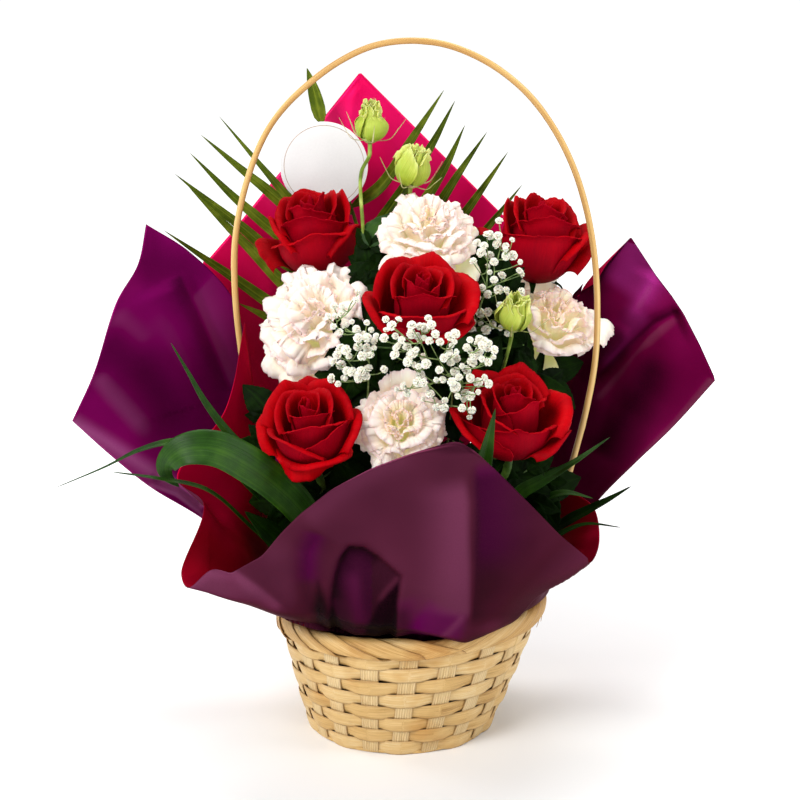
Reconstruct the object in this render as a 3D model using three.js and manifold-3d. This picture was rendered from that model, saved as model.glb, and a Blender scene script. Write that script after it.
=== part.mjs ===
// Flower basket arrangement: a woven bamboo basket with a hoop handle, lined and filled with wet
// floral foam, that holds roses, lisianthus, buds, gypsophila, a palm frond and long leaves inside
// a collar of two-tone wrapping film, with a round card on a pick.
// Millimetres, +Z up, +X to the right and -Y to the front. Origin: centre of the basket's underside.
import * as THREE from "three";
import { mergeVertices } from "three/addons/utils/BufferGeometryUtils.js";
import Module from "manifold-3d";

const wasm = await Module();
wasm.setup();

// ---------------------------------------------------------------- driving dimensions
const BASE_R = 65; // outer radius of the basket at the table
const RIM_R = 89; // outer radius of the woven wall at its top
const WALL_T = 4.5; // two layers of bamboo strip and the stake between them
const WALL_H = 76.6; // woven wall below the rim band
const RIM_LOW = 77;
const RIM_TOP = 88;
const SIDE_SHIFT = 8.5; // the hand-woven basket leans: its rim sits this far to the right
const RIM_TILT = 0.07; // and its right side is this share taller
const BASE_T = 4;
const GAP = 0.35;
const HOOP_W = 5; // bamboo hoop strip, front to back
const HOOP_T = 3.2; // and across
const FOAM_TOP = 101;
const FOAM_R = 62;
const FILM_T = 1.0;
const CARD_R = 30.5;
const CARD_T = 0.8;

const V = (a) => new THREE.Vector3(a[0], a[1], a[2]);
const group = new THREE.Group();
group.name = "flower_basket_arrangement";

const paint = {
  bamboo: [0xd8b47c, 0.6],
  bamboo_rim: [0xdcc08a, 0.6],
  cane: [0xd2ad6e, 0.5],
  liner: [0x2c2c2a, 0.4],
  foam: [0x2f5a35, 0.9],
  film_plum: [0x5a1048, 0.38],
  film_fuchsia: [0xd80f60, 0.38],
  rose: [0xb4040f, 0.6],
  lisianthus: [0xf3ebe2, 0.7],
  bud: [0xbccf60, 0.6],
  stem: [0x5f8434, 0.55],
  palm: [0x4e6a16, 0.5],
  leaf: [0x2c6322, 0.4],
  leaf_dark: [0x1c3a16, 0.5],
  gyps: [0xf4f3ec, 0.8],
  card: [0xf6f5f3, 0.6],
  pick: [0xcdb489, 0.6],
};
function add(name, geometry, colour) {
  const [hex, roughness] = paint[colour];
  const mesh = new THREE.Mesh(
    geometry,
    new THREE.MeshStandardMaterial({ color: hex, roughness, metalness: 0 }),
  );
  mesh.name = name;
  group.add(mesh);
  return mesh;
}

// ---------------------------------------------------------------- geometry helpers
// A closed skin from points and triangles, turned so that its faces point outwards.
function fromArrays(positions, index) {
  let volume = 0;
  const P = (i) => new THREE.Vector3(positions[3 * i], positions[3 * i + 1], positions[3 * i + 2]);
  for (let i = 0; i < index.length; i += 3)
    volume += P(index[i]).dot(P(index[i + 1]).cross(P(index[i + 2])));
  if (volume < 0)
    for (let i = 0; i < index.length; i += 3)
      [index[i + 1], index[i + 2]] = [index[i + 2], index[i + 1]];
  const g = new THREE.BufferGeometry();
  g.setAttribute("position", new THREE.Float32BufferAttribute(positions, 3));
  g.setIndex(index);
  g.computeVertexNormals();
  return g;
}
function solid(geometry) {
  const g = geometry.clone();
  g.deleteAttribute("normal");
  g.deleteAttribute("uv");
  const m = mergeVertices(g, 1e-3);
  return new wasm.Manifold(
    new wasm.Mesh({
      numProp: 3,
      vertProperties: m.attributes.position.array,
      triVerts: new Uint32Array(m.index.array),
    }),
  );
}
function geometryOf(manifold) {
  const m = manifold.getMesh();
  const p = [];
  for (let i = 0; i < m.vertProperties.length; i += m.numProp)
    p.push(m.vertProperties[i], m.vertProperties[i + 1], m.vertProperties[i + 2]);
  return fromArrays(p, Array.from(m.triVerts));
}
// A closed skin over rings of equal count. A ring of one point closes an end.
function loft(rings) {
  const p = [];
  const start = [];
  for (const r of rings) {
    start.push(p.length / 3);
    for (const v of r) p.push(v.x, v.y, v.z);
  }
  const idx = [];
  for (let k = 0; k + 1 < rings.length; k++) {
    const a = rings[k],
      b = rings[k + 1];
    const n = Math.max(a.length, b.length);
    for (let i = 0; i < n; i++) {
      const j = (i + 1) % n;
      if (a.length === 1) idx.push(start[k], start[k + 1] + j, start[k + 1] + i);
      else if (b.length === 1) idx.push(start[k] + i, start[k] + j, start[k + 1]);
      else
        idx.push(
          start[k] + i, start[k] + j, start[k + 1] + j,
          start[k] + i, start[k + 1] + j, start[k + 1] + i,
        );
    }
  }
  const cap = (k, flip) => {
    const n = rings[k].length;
    for (let i = 1; i + 1 < n; i++)
      if (flip) idx.push(start[k], start[k] + i + 1, start[k] + i);
      else idx.push(start[k], start[k] + i, start[k] + i + 1);
  };
  if (rings[0].length > 1) cap(0, true);
  if (rings[rings.length - 1].length > 1) cap(rings.length - 1, false);
  return fromArrays(p, idx);
}
// Rings round a curve: section(t) gives the half width, half thickness; facing is the face normal.
function strip(points, sizes, facing, steps, sides = 4, pointed = true) {
  const curve = new THREE.CatmullRomCurve3(points.map(V), false, "centripetal");
  const rings = [];
  for (let k = 0; k <= steps; k++) {
    const t = k / steps;
    const c = curve.getPoint(t);
    const tan = curve.getTangent(t).normalize();
    const side = new THREE.Vector3().crossVectors(tan, V(facing)).normalize();
    const up = new THREE.Vector3().crossVectors(side, tan).normalize();
    if (pointed && k === steps) {
      rings.push([c]);
      break;
    }
    const x = t * (sizes.length - 1);
    const i = Math.min(Math.floor(x), sizes.length - 2);
    const f = x - i;
    const w = (sizes[i][0] * (1 - f) + sizes[i + 1][0] * f) / 2;
    const h = (sizes[i][1] * (1 - f) + sizes[i + 1][1] * f) / 2;
    const ring = [];
    for (let s = 0; s < sides; s++) {
      const a = (2 * Math.PI * s) / sides;
      ring.push(
        c.clone()
          .addScaledVector(side, w * Math.cos(a))
          .addScaledVector(up, h * Math.sin(a)),
      );
    }
    rings.push(ring);
  }
  return loft(rings);
}
// A sheet of thickness t over a grid of points, closed round its border.
function slab(grid, t) {
  const n = grid.length,
    m = grid[0].length;
  const nor = [];
  for (let i = 0; i < n; i++)
    for (let j = 0; j < m; j++) {
      const du = grid[Math.min(i + 1, n - 1)][j].clone().sub(grid[Math.max(i - 1, 0)][j]);
      const dv = grid[i][Math.min(j + 1, m - 1)].clone().sub(grid[i][Math.max(j - 1, 0)]);
      nor.push(new THREE.Vector3().crossVectors(du, dv).normalize());
    }
  const p = [];
  for (const s of [0.5, -0.5])
    for (let i = 0; i < n; i++)
      for (let j = 0; j < m; j++) {
        const v = grid[i][j].clone().addScaledVector(nor[i * m + j], s * t);
        p.push(v.x, v.y, v.z);
      }
  const A = (i, j) => i * m + j,
    B = (i, j) => n * m + i * m + j;
  const idx = [];
  for (let i = 0; i + 1 < n; i++)
    for (let j = 0; j + 1 < m; j++) {
      idx.push(A(i, j), A(i + 1, j), A(i + 1, j + 1), A(i, j), A(i + 1, j + 1), A(i, j + 1));
      idx.push(B(i, j), B(i + 1, j + 1), B(i + 1, j), B(i, j), B(i, j + 1), B(i + 1, j + 1));
    }
  const wall = (a, b, c, d) => idx.push(a, b, c, a, c, d);
  for (let i = 0; i + 1 < n; i++) {
    wall(A(i, 0), B(i, 0), B(i + 1, 0), A(i + 1, 0));
    wall(A(i + 1, m - 1), B(i + 1, m - 1), B(i, m - 1), A(i, m - 1));
  }
  for (let j = 0; j + 1 < m; j++) {
    wall(A(0, j + 1), B(0, j + 1), B(0, j), A(0, j));
    wall(A(n - 1, j), B(n - 1, j), B(n - 1, j + 1), A(n - 1, j + 1));
  }
  return fromArrays(p, idx);
}
// A smooth film over columns of control points, each running from the tuck outwards.
function film(columns, across, along) {
  const curves = columns.map((c) => new THREE.CatmullRomCurve3(c.map(V), false, "centripetal"));
  const grid = [];
  for (let i = 0; i <= across; i++) grid.push([]);
  for (let j = 0; j <= along; j++) {
    const row = new THREE.CatmullRomCurve3(
      curves.map((c) => c.getPoint(j / along)), false, "centripetal");
    for (let i = 0; i <= across; i++) grid[i].push(row.getPoint(i / across));
  }
  return grid;
}
// A closed body of revolution about +Y, its width waved into petal lobes.
function bloomGeometry(r, profile, segments, lobes, wave) {
  const g = new THREE.LatheGeometry(
    profile.map(([x, y]) => new THREE.Vector2(x * r, y * r)), segments);
  const p = g.attributes.position;
  for (let i = 0; i < p.count; i++) {
    const x = p.getX(i), z = p.getZ(i);
    const d = Math.hypot(x, z) / r;
    const f = 1 + wave * d * Math.cos(lobes * Math.atan2(z, x));
    p.setXYZ(i, x * f, p.getY(i), z * f);
  }
  g.computeVertexNormals();
  return g;
}
function leanBasket(g) {
  const p = g.attributes.position;
  for (let i = 0; i < p.count; i++) {
    const x = p.getX(i), y = p.getY(i), z = p.getZ(i);
    const k = z / RIM_TOP;
    p.setXYZ(i, x + SIDE_SHIFT * k, y, z * (1 + RIM_TILT * (x / RIM_R) - 0.02 * (y / RIM_R)));
  }
  g.computeVertexNormals();
  return g;
}
const lathe = (pts, seg) => {
  const g = new THREE.LatheGeometry(pts.map(([x, y]) => new THREE.Vector2(x, y)), seg);
  g.rotateX(Math.PI / 2); // the lathe turns about +Y; the basket stands on +Z
  return g;
};

// ---------------------------------------------------------------- basket
const outerR = (z) => BASE_R + (RIM_R - BASE_R) * (z / WALL_H) + 1.2 * Math.sin((Math.PI * z) / WALL_H);
{
  const out = [0, 20, 50, WALL_H].map((z) => [outerR(z), z]);
  const inn = [WALL_H, 50, 20, 0].map((z) => [outerR(z) - WALL_T, z]);
  add("basket_wall", leanBasket(lathe([...out, ...inn, out[0]], 36)), "bamboo");
}
{
  const r = BASE_R - WALL_T - GAP - 0.3;
  add("basket_base", leanBasket(lathe([[0, 0], [r, 0], [r, BASE_T], [0, BASE_T]], 36)), "bamboo");
}
{
  const pts = [
    [83.6, RIM_LOW + 1], [85, RIM_LOW], [90.4, RIM_LOW], [91.6, RIM_LOW + 2.5],
    [91.6, RIM_TOP - 2.5], [89.6, RIM_TOP], [85.4, RIM_TOP], [83.6, RIM_TOP - 1.5],
  ];
  add("basket_rim", leanBasket(lathe([...pts, pts[0]], 36)), "bamboo_rim");
}

// ---------------------------------------------------------------- hoop handle, both feet pushed down inside the wall
const HOOP = [
  [-60.2, 0, 20], [-65.6, 0, 46], [-70.6, 0, 70], [-72.6, 0, 84], [-76.5, 0, 104], [-84.5, 0, 138], [-96.5, 0, 198],
  [-105.3, 0, 253], [-109.6, 0, 300], [-108.6, 0, 338], [-101, 0, 373], [-89.2, 0, 403], [-76.5, 0, 421.5],
  [-58, 0, 439], [-38.7, 0, 452.6], [-18, 0, 462], [3.2, 0, 465.4], [25.7, 0, 463.8], [45, 0, 457.6],
  [64.5, 0, 446.9], [84, 0, 430.5], [100.8, 0, 408.5], [113.5, 0, 384], [122.8, 0, 356], [128.6, 0, 326],
  [131.4, 0, 292], [130.9, 0, 256], [125.8, 0, 222], [117.5, 0, 186], [108, 0, 150], [98.6, 0, 118],
  [90.8, 0, 98], [89.0, 0, 88], [87.0, 0, 78], [80.6, 0, 58], [71.6, 0, 34], [66.0, 0, 20],
];
// the strip's flat side faces along the hoop's own radius
{
  const curve = new THREE.CatmullRomCurve3(HOOP.map(V), false, "centripetal");
  const rings = [];
  const N = 48;
  for (let k = 0; k <= N; k++) {
    const c = curve.getPoint(k / N);
    const tan = curve.getTangent(k / N).normalize();
    const side = new THREE.Vector3(0, 1, 0);
    const up = new THREE.Vector3().crossVectors(side, tan).normalize();
    rings.push(
      [[0.5, 0], [0.32, 0.42], [-0.32, 0.42], [-0.5, 0], [-0.36, -0.5], [0.36, -0.5]].map(([a, b]) =>
        c.clone().addScaledVector(side, a * HOOP_W).addScaledVector(up, b * HOOP_T)),
    );
  }
  add("handle_hoop", loft(rings), "cane");
}

// ---------------------------------------------------------------- liner and wet foam
{
  const o = [[0, BASE_T + 0.5], [55, BASE_T + 0.5], [62, 30], [68.4, 70], [70.2, 84]];
  const i = [[69.2, 84], [67.4, 70], [61, 30], [54.2, BASE_T + 1.5], [0, BASE_T + 1.5]];
  add("liner", leanBasket(lathe([...o, ...i], 32)), "liner");
}
const foamBody = solid(
  leanBasket(lathe([[0, BASE_T + 2.2], [53, BASE_T + 2.2], [60, 30], [65.4, 70], [FOAM_R + 3, 94], [FOAM_R - 2, FOAM_TOP], [0, FOAM_TOP]], 28)),
);
const slotOf = {}; // where each stem enters the foam's top, and how thick it is there
function rooted(name, x, y, r, next, depth) {
  const top = V([x, y, FOAM_TOP + 2]);
  const dir = V(next).sub(top).normalize();
  const low = top.clone().addScaledVector(dir, -depth);
  slotOf[name] = { low, dir, r, depth };
  return [low.toArray(), top.clone().addScaledVector(dir, -depth / 2).toArray(), top.toArray()];
}

// ---------------------------------------------------------------- wrapping film
// Each film is given by columns of points that run from its tuck between liner and wall outwards to its free edge.
const FRONT = [ // the front collar: plum outside, crimson inside, its two ends turned out
  [[-66.6, -7.9, 70.0], [-69.6, -8.2, 94.0], [-91.9, -18.0, 211.9], [-98.1, -15.0, 248.7], [-102.3, -12.0, 283.9]],
  [[-65.4, -15.7, 70.0], [-68.3, -16.3, 94.0], [-91.6, -30.0, 177.3], [-103.6, -30.0, 204.7], [-115.0, -30.0, 228.5]],
  [[-62.9, -24.6, 70.0], [-65.7, -25.6, 94.0], [-101.7, -50.0, 148.9], [-123.9, -53.0, 170.3], [-144.6, -55.0, 189.2]],
  [[-59.4, -33.1, 70.0], [-62.1, -34.4, 94.0], [-98.7, -66.0, 137.0], [-115.1, -66.0, 156.1], [-127.3, -62.0, 174.4]],
  [[-54.8, -41.1, 70.0], [-57.3, -42.8, 94.0], [-103.4, -86.0, 127.5], [-122.1, -95.0, 137.0], [-137.9, -100.0, 139.2]],
  [[-50.2, -47.5, 70.0], [-52.5, -49.4, 94.0], [-98.6, -92.0, 117.0], [-116.5, -102.0, 126.0], [-132.8, -108.0, 132.7]],
  [[-44.9, -53.4, 70.0], [-47.0, -55.5, 94.0], [-91.8, -98.0, 116.5], [-104.8, -106.0, 125.5], [-117.1, -111.0, 145.6]],
  [[-39.0, -58.7, 70.0], [-40.9, -61.0, 94.0], [-83.4, -100.0, 117.0], [-93.7, -110.0, 128.5], [-103.6, -116.0, 145.3]],
  [[-31.5, -64.0, 70.0], [-33.1, -66.6, 94.0], [-68.0, -103.0, 124.5], [-77.2, -113.0, 142.3], [-87.5, -121.0, 154.8]],
  [[-22.2, -69.0, 70.0], [-23.4, -71.7, 94.0], [-50.2, -106.0, 129.3], [-61.8, -118.0, 152.5], [-71.5, -126.0, 173.8]],
  [[-12.3, -72.6, 70.0], [-13.1, -75.5, 94.0], [-32.6, -109.0, 128.4], [-44.9, -121.0, 163.2], [-57.0, -130.0, 192.9]],
  [[-2.0, -74.8, 70.0], [-2.4, -77.7, 94.0], [-17.5, -111.0, 129.1], [-25.7, -124.0, 172.5], [-33.1, -134.0, 210.4]],
  [[8.5, -75.5, 70.0], [8.5, -78.5, 94.0], [1.2, -112.0, 129.5], [1.2, -125.0, 176.1], [1.2, -136.0, 222.8]],
  [[20.3, -74.6, 70.0], [20.8, -77.5, 94.0], [18.7, -111.0, 131.1], [26.9, -124.0, 182.1], [34.1, -136.0, 233.9]],
  [[31.8, -71.8, 70.0], [32.8, -74.7, 94.0], [34.5, -108.0, 131.4], [46.0, -121.0, 174.8], [56.0, -132.0, 215.4]],
  [[42.8, -67.3, 70.0], [44.1, -69.9, 94.0], [50.4, -102.0, 129.2], [63.1, -114.0, 162.9], [74.4, -124.0, 193.6]],
  [[52.9, -61.1, 70.0], [54.6, -63.5, 94.0], [66.7, -92.0, 121.0], [79.6, -103.0, 152.7], [91.0, -111.0, 173.6]],
  [[62.8, -52.4, 70.0], [65.0, -54.5, 94.0], [83.9, -75.0, 116.0], [98.5, -83.0, 133.5], [111.8, -88.0, 150.4]],
  [[70.3, -43.3, 70.0], [72.8, -45.0, 94.0], [95.0, -58.0, 112.5], [110.0, -65.0, 124.5], [123.1, -68.0, 136.4]],
  [[76.4, -33.1, 70.0], [79.1, -34.4, 94.0], [99.6, -42.0, 113.5], [116.5, -44.0, 127.0], [131.4, -44.0, 143.5]],
  [[80.7, -22.1, 70.0], [83.6, -23.0, 94.0], [102.3, -25.0, 119.0], [116.8, -24.0, 144.1], [128.7, -22.0, 161.0]],
  [[83.3, -10.5, 70.0], [86.2, -10.9, 94.0], [100.6, -12.0, 129.7], [105.7, -11.0, 150.7], [109.5, -10.0, 169.4]],
];
const LEFT = [ // the left sheet
  [[-64.6, 7.7, 70.0], [-67.6, 8.0, 94.0], [-104.0, 8.0, 112.3], [-134.7, 4.0, 142.5], [-170.4, 0.0, 167.2], [-196.3, -3.0, 190.6], [-220.4, -6.0, 215.1]],
  [[-62.8, 17.8, 70.0], [-65.7, 18.5, 94.0], [-107.9, 18.0, 134.5], [-134.3, 14.0, 171.8], [-161.8, 10.0, 203.3], [-186.1, 6.0, 230.2], [-205.7, 2.0, 247.0]],
  [[-59.2, 28.7, 70.0], [-61.9, 29.9, 94.0], [-109.6, 28.0, 160.6], [-129.8, 24.0, 201.2], [-151.2, 20.0, 234.0], [-172.4, 18.0, 265.7], [-191.5, 16.0, 291.6]],
  [[-53.1, 40.0, 70.0], [-55.7, 41.7, 94.0], [-106.5, 38.0, 183.2], [-121.9, 34.0, 227.2], [-137.4, 32.0, 262.9], [-157.1, 32.0, 292.2], [-178.2, 32.0, 315.6]],
  [[-44.4, 51.1, 70.0], [-46.5, 53.1, 94.0], [-97.0, 46.0, 202.8], [-105.9, 40.0, 254.3], [-115.3, 38.0, 291.8], [-143.8, 42.0, 322.3], [-173.8, 46.0, 341.1]],
];
const RIGHT = [ // the right sheet
  [[81.5, 9.0, 70.0], [84.4, 9.3, 94.0], [123.3, 12.0, 132.8], [135.1, 10.0, 152.9], [157.2, 6.0, 179.0], [184.1, 1.0, 208.4], [209.3, -6.0, 241.3]],
  [[79.2, 20.3, 70.0], [82.0, 21.1, 94.0], [118.5, 24.0, 150.8], [138.5, 22.0, 178.8], [160.5, 18.0, 209.8], [181.9, 12.0, 239.3], [204.0, 8.0, 264.3]],
  [[74.6, 32.2, 70.0], [77.3, 33.5, 94.0], [113.6, 36.0, 172.8], [133.7, 36.0, 208.9], [153.1, 32.0, 240.4], [172.4, 28.0, 267.2], [191.5, 24.0, 288.1]],
  [[67.2, 44.2, 70.0], [69.6, 46.0, 94.0], [112.7, 48.0, 195.1], [128.0, 48.0, 236.9], [142.3, 46.0, 267.2], [158.5, 42.0, 289.0], [175.9, 38.0, 306.4]],
  [[57.7, 54.6, 70.0], [59.7, 56.9, 94.0], [113.2, 58.0, 214.4], [124.3, 58.0, 257.7], [135.5, 56.0, 302.1], [147.2, 52.0, 317.4], [158.7, 48.0, 330.4]],
  [[51.7, 59.5, 70.0], [53.5, 61.9, 94.0], [97.0, 66.0, 200.0], [104.0, 70.0, 236.0], [110.0, 70.0, 262.0], [116.0, 68.0, 278.0], [122.0, 64.0, 290.0]],
];
const BACK = [ // the back sheet, fuchsia to the front
  [[-41.4, 51.2, 70.0], [-43.5, 53.3, 94.0], [-88.0, 82.0, 165.0], [-115.0, 90.0, 215.0], [-146.0, 94.0, 262.0]],
  [[-40.3, 52.3, 70.0], [-42.3, 54.5, 94.0], [-80.2, 88.0, 177.4], [-108.6, 95.0, 246.6], [-139.9, 98.0, 310.4]],
  [[-28.3, 61.3, 70.0], [-29.9, 63.9, 94.0], [-62.0, 92.0, 191.4], [-81.1, 102.0, 278.4], [-98.8, 108.0, 363.0]],
  [[-14.8, 67.6, 70.0], [-15.8, 70.4, 94.0], [-43.7, 94.0, 205.9], [-54.1, 106.0, 314.3], [-62.0, 113.0, 405.2]],
  [[-0.2, 71.0, 70.0], [-0.6, 73.9, 94.0], [-21.9, 95.0, 213.2], [-25.2, 108.0, 328.5], [-28.4, 116.0, 439.4]],
  [[14.7, 71.2, 70.0], [15.0, 74.2, 94.0], [7.3, 95.0, 213.2], [18.1, 107.0, 306.8], [26.5, 114.0, 385.2]],
  [[29.4, 68.4, 70.0], [30.3, 71.2, 94.0], [32.8, 94.0, 205.9], [54.3, 104.0, 285.4], [72.0, 110.0, 340.5]],
  [[43.2, 62.5, 70.0], [44.6, 65.2, 94.0], [54.6, 90.0, 191.9], [83.3, 97.0, 253.6], [109.3, 100.0, 306.5]],
];
// The collar rests on the rim: it comes up just inside it and turns out over its top.
function overRim(columns) {
  return columns.map(([tuck, , ...rest]) => {
    const a = Math.atan2(tuck[1], tuck[0] - SIDE_SHIFT);
    const top = RIM_TOP * (1 + RIM_TILT * Math.cos(a) - 0.02 * Math.sin(a));
    const at = (r, z) => [SIDE_SHIFT + r * Math.cos(a), r * Math.sin(a), z];
    return [at(77.5, 70), at(80.6, top - 2), at(85.8, top + 3.0), at(94.5, top + 5.8), ...rest];
  });
}
add("wrap_front", slab(film(overRim(FRONT), 34, 11), FILM_T), "film_plum");
add("wrap_left", slab(film(LEFT, 9, 8), FILM_T), "film_plum");
add("wrap_right", slab(film(RIGHT, 11, 8), FILM_T), "film_plum");
add("wrap_back", slab(film(BACK, 14, 6), FILM_T), "film_fuchsia");

// ---------------------------------------------------------------- blooms
const ROSE = [[0, -0.78], [0.24, -0.76], [0.6, -0.52], [0.9, -0.1], [1.0, 0.22], [0.86, 0.5], [0.45, 0.62], [0, 0.56]];
const LISI = [[0, -0.66], [0.2, -0.64], [0.55, -0.4], [0.92, -0.02], [1.0, 0.16], [0.8, 0.42], [0.38, 0.56], [0, 0.5]];
const BUD = [[0, -1.1], [0.28, -1.06], [0.8, -0.7], [1.0, -0.1], [0.82, 0.5], [0.45, 0.98], [0, 1.12]];
const BLOOMS = {
  rose_1: { c: [-57.8, 36, 335.6], r: 36, axis: [-0.15, -0.25, 0.95], kind: "rose" },
  rose_2: { c: [12.6, -56, 306.0], r: 34, axis: [0.05, -0.44, 0.90], kind: "rose" },
  rose_3: { c: [94.3, 44, 330.6], r: 37.5, axis: [0.12, -0.2, 0.97], kind: "rose" },
  rose_4: { c: [-56, -90, 232.5], r: 33, axis: [-0.08, -0.48, 0.87], kind: "rose" },
  rose_5: { c: [70.5, -75, 234.5], r: 35.3, axis: [0.04, -0.38, 0.92], kind: "rose" },
  lisianthus_1: { c: [-53.8, -18, 287.7], r: 41.5, axis: [-0.15, -0.8, 0.55], kind: "lisianthus" },
  lisianthus_2: { c: [18.4, 0, 344.5], r: 34.9, axis: [0.08, -0.55, 0.83], kind: "lisianthus" },
  lisianthus_3: { c: [103.6, 19, 280.0], r: 33, axis: [0.25, -0.6, 0.74], kind: "lisianthus" },
  lisianthus_4: { c: [1.3, -80, 230.9], r: 32, axis: [0.03, -0.8, 0.6], kind: "lisianthus" },
  bud_1: { c: [-19.4, 32, 411.9], r: 13.3, axis: [0.05, -0.1, 1], kind: "bud" },
  bud_2: { c: [9.3, 22, 383], r: 13.6, axis: [0.15, -0.25, 1], kind: "bud" },
  bud_3: { c: [73.8, -42, 296.1], r: 12.8, axis: [0.1, -0.35, 0.95], kind: "bud" },
};
const STEMS = {
  // slot in the foam (x, y), stem radius, then points on the way up
  rose_1: [-18, 22, 2.9, [[-34, 34, 200]]],
  rose_2: [12, -24, 2.9, [[14, -30, 200]]],
  rose_3: [38, 28, 2.9, [[62, 50, 200], [84, 57, 268]]],
  rose_4: [-24, -28, 2.9, [[-38, -38, 150]]],
  rose_5: [38, -28, 2.9, [[50, -36, 150]]],
  lisianthus_1: [-26, -2, 2.1, [[-38, 4, 180]]],
  lisianthus_2: [13, 10, 2.1, [[14, 14, 220]]],
  lisianthus_3: [44, 6, 2.1, [[62, 18, 180]]],
  lisianthus_4: [4, -42, 2.1, [[2, -44, 140]]],
  bud_1: [-4, 26, 1.5, [[-10, 22, 220], [-17.6, 20, 286], [-22.6, 13, 320], [-25, 9.5, 350], [-26, 22, 378]]],
  bud_2: [0, 42, 1.5, [[-2, 42, 220], [-2, 43, 300], [0.7, 42, 345]]],
  bud_3: [28, -8, 1.5, [[44, -14, 180], [58, -22, 226], [67, -34, 257]]],
};
function tube(points, r, sides, steps) {
  const shape = new THREE.Shape();
  for (let i = 0; i < sides; i++) {
    const a = (2 * Math.PI * i) / sides;
    if (i) shape.lineTo(r * Math.cos(a), r * Math.sin(a));
    else shape.moveTo(r, 0);
  }
  shape.closePath();
  const path = new THREE.CatmullRomCurve3(points.map(V), false, "centripetal");
  return new THREE.ExtrudeGeometry(shape, { steps, bevelEnabled: false, extrudePath: path });
}
for (const [name, b] of Object.entries(BLOOMS)) {
  const axis = V(b.axis).normalize();
  const [profile, seg, lobes, wave] =
    b.kind === "rose" ? [ROSE, 12, 5, 0.05] : b.kind === "bud" ? [BUD, 8, 3, 0.05] : [LISI, 15, 7, 0.07];
  const mesh = add(`${name}_bloom`, bloomGeometry(b.r, profile, seg, lobes, wave),
    b.kind === "bud" ? "bud" : b.kind);
  mesh.quaternion.setFromUnitVectors(new THREE.Vector3(0, 1, 0), axis);
  mesh.position.copy(V(b.c));
  // the stem ends just under the bloom and follows its axis there
  const base = V(b.c).addScaledVector(axis, profile[0][1] * b.r - GAP);
  const [x, y, r, way] = STEMS[name];
  const root = rooted(`${name}_stem`, x, y, r, way[0], 45);
  const before = base.clone().addScaledVector(axis, b.kind === "bud" ? -8 : -14);
  const steps = b.kind === "bud" ? 14 : 10;
  add(`${name}_stem`, tube([...root, ...way, before.toArray(), base.toArray()], r, 6, steps), "stem");
}
group.updateMatrixWorld(true);
// Neighbouring blooms press on each other: the first of each pair gives way to the second.
const PRESSED = [
  ["lisianthus_1", "rose_4"], ["lisianthus_1", "rose_2"], ["rose_1", "lisianthus_1"], ["lisianthus_4", "rose_4"],
  ["lisianthus_4", "rose_5"], ["rose_3", "lisianthus_3"], ["rose_3", "lisianthus_2"], ["lisianthus_2", "rose_2"],
  ["rose_1", "lisianthus_2"], ["bud_2", "lisianthus_2"], ["lisianthus_4", "rose_2"], ["bud_3", "lisianthus_3"],
];
function give(victim, cutter, clearance) {
  const a = group.getObjectByName(`${victim}_bloom`), b = group.getObjectByName(`${cutter}_bloom`);
  const s = 1 + clearance / BLOOMS[cutter].r;
  const A = solid(a.geometry.clone().applyMatrix4(a.matrixWorld));
  const B = solid(b.geometry.clone().scale(s, s, s).applyMatrix4(b.matrixWorld));
  const cut = A.subtract(B);
  a.geometry = geometryOf(cut).applyMatrix4(a.matrixWorld.clone().invert());
}
for (const [v, c] of PRESSED) give(v, c, 0.9);

// ---------------------------------------------------------------- palm frond: one rachis with its leaflets
const RACHIS = [[-20, 60, 184.7], [-17.8, 72, 240.4], [-21.4, 84, 288.8], [-29.8, 90, 330.9], [-42.4, 92, 369.7], [-54.7, 92, 406.7]];
const LEAFLETS = [
  [[-54.7, 92, 405], [-60.1, 92, 427.5], [-64.7, 90, 444.1]],
  [[-34.5, 90.4, 344.5], [-47, 84, 338.5], [-60, 78.5, 339.5], [-71.5, 68.2, 349.5], [-93, 65.6, 375], [-124.6, 72, 412]],
  [[-34.2, 90.5, 343], [-65.2, 87, 340], [-99.3, 78, 366], [-137.1, 68, 399.7]],
  [[-26.5, 87.6, 314], [-63.9, 86, 315], [-108.5, 76, 349], [-144.8, 66, 387.5]],
  [[-22.4, 85, 294], [-71, 84, 303], [-115.7, 76, 339], [-155.3, 64, 373.3]],
  [[-20, 79.4, 270], [-64.2, 82, 279], [-109.2, 78, 323], [-146.8, 66, 364.8]],
  [[-18.4, 74, 250], [-71.2, 80, 267], [-118.6, 76, 299.5], [-164.5, 66, 334]],
  [[-18.2, 68.5, 224], [-57, 74, 246], [-88.7, 74, 268], [-114.3, 70, 281.9]],
  [[-34.8, 91, 347], [-14.1, 86, 362], [8.3, 78, 396], [30.2, 72, 430]],
  [[-27.5, 89, 320], [-3.5, 84, 352], [20.9, 78, 390.5], [37.8, 72, 422.6]],
  [[-23, 85.6, 298], [7.1, 84, 337], [31.4, 78, 376], [44.9, 72, 406.2]],
  [[-20.6, 81.6, 280], [10, 84, 321], [37, 78, 366], [60.1, 72, 401.4]],
  [[-18.6, 76.6, 258], [18.5, 82, 307], [50, 78, 351], [74.8, 72, 387.7]],
  [[-18, 71.5, 238], [22, 80, 286], [57.5, 80, 329], [85, 74, 364.6]],
];
{
  const root = rooted("palm_frond", -14, 46, 1.9, RACHIS[0], 40);
  let frond = solid(strip([...root, ...RACHIS], [[3.6, 3.6], [3.6, 3.6], [3.0, 3.0], [2.2, 2.2]], [0, -1, 0.2], 14, 5, false));
  for (const pts of LEAFLETS)
    frond = frond.add(solid(strip(pts, [[2, 1.6], [5.6, 1.2], [5.2, 1], [3, 0.9]], [0.05, -1, 0.25], 4)));
  add("palm_frond", geometryOf(frond), "palm");
}

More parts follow.
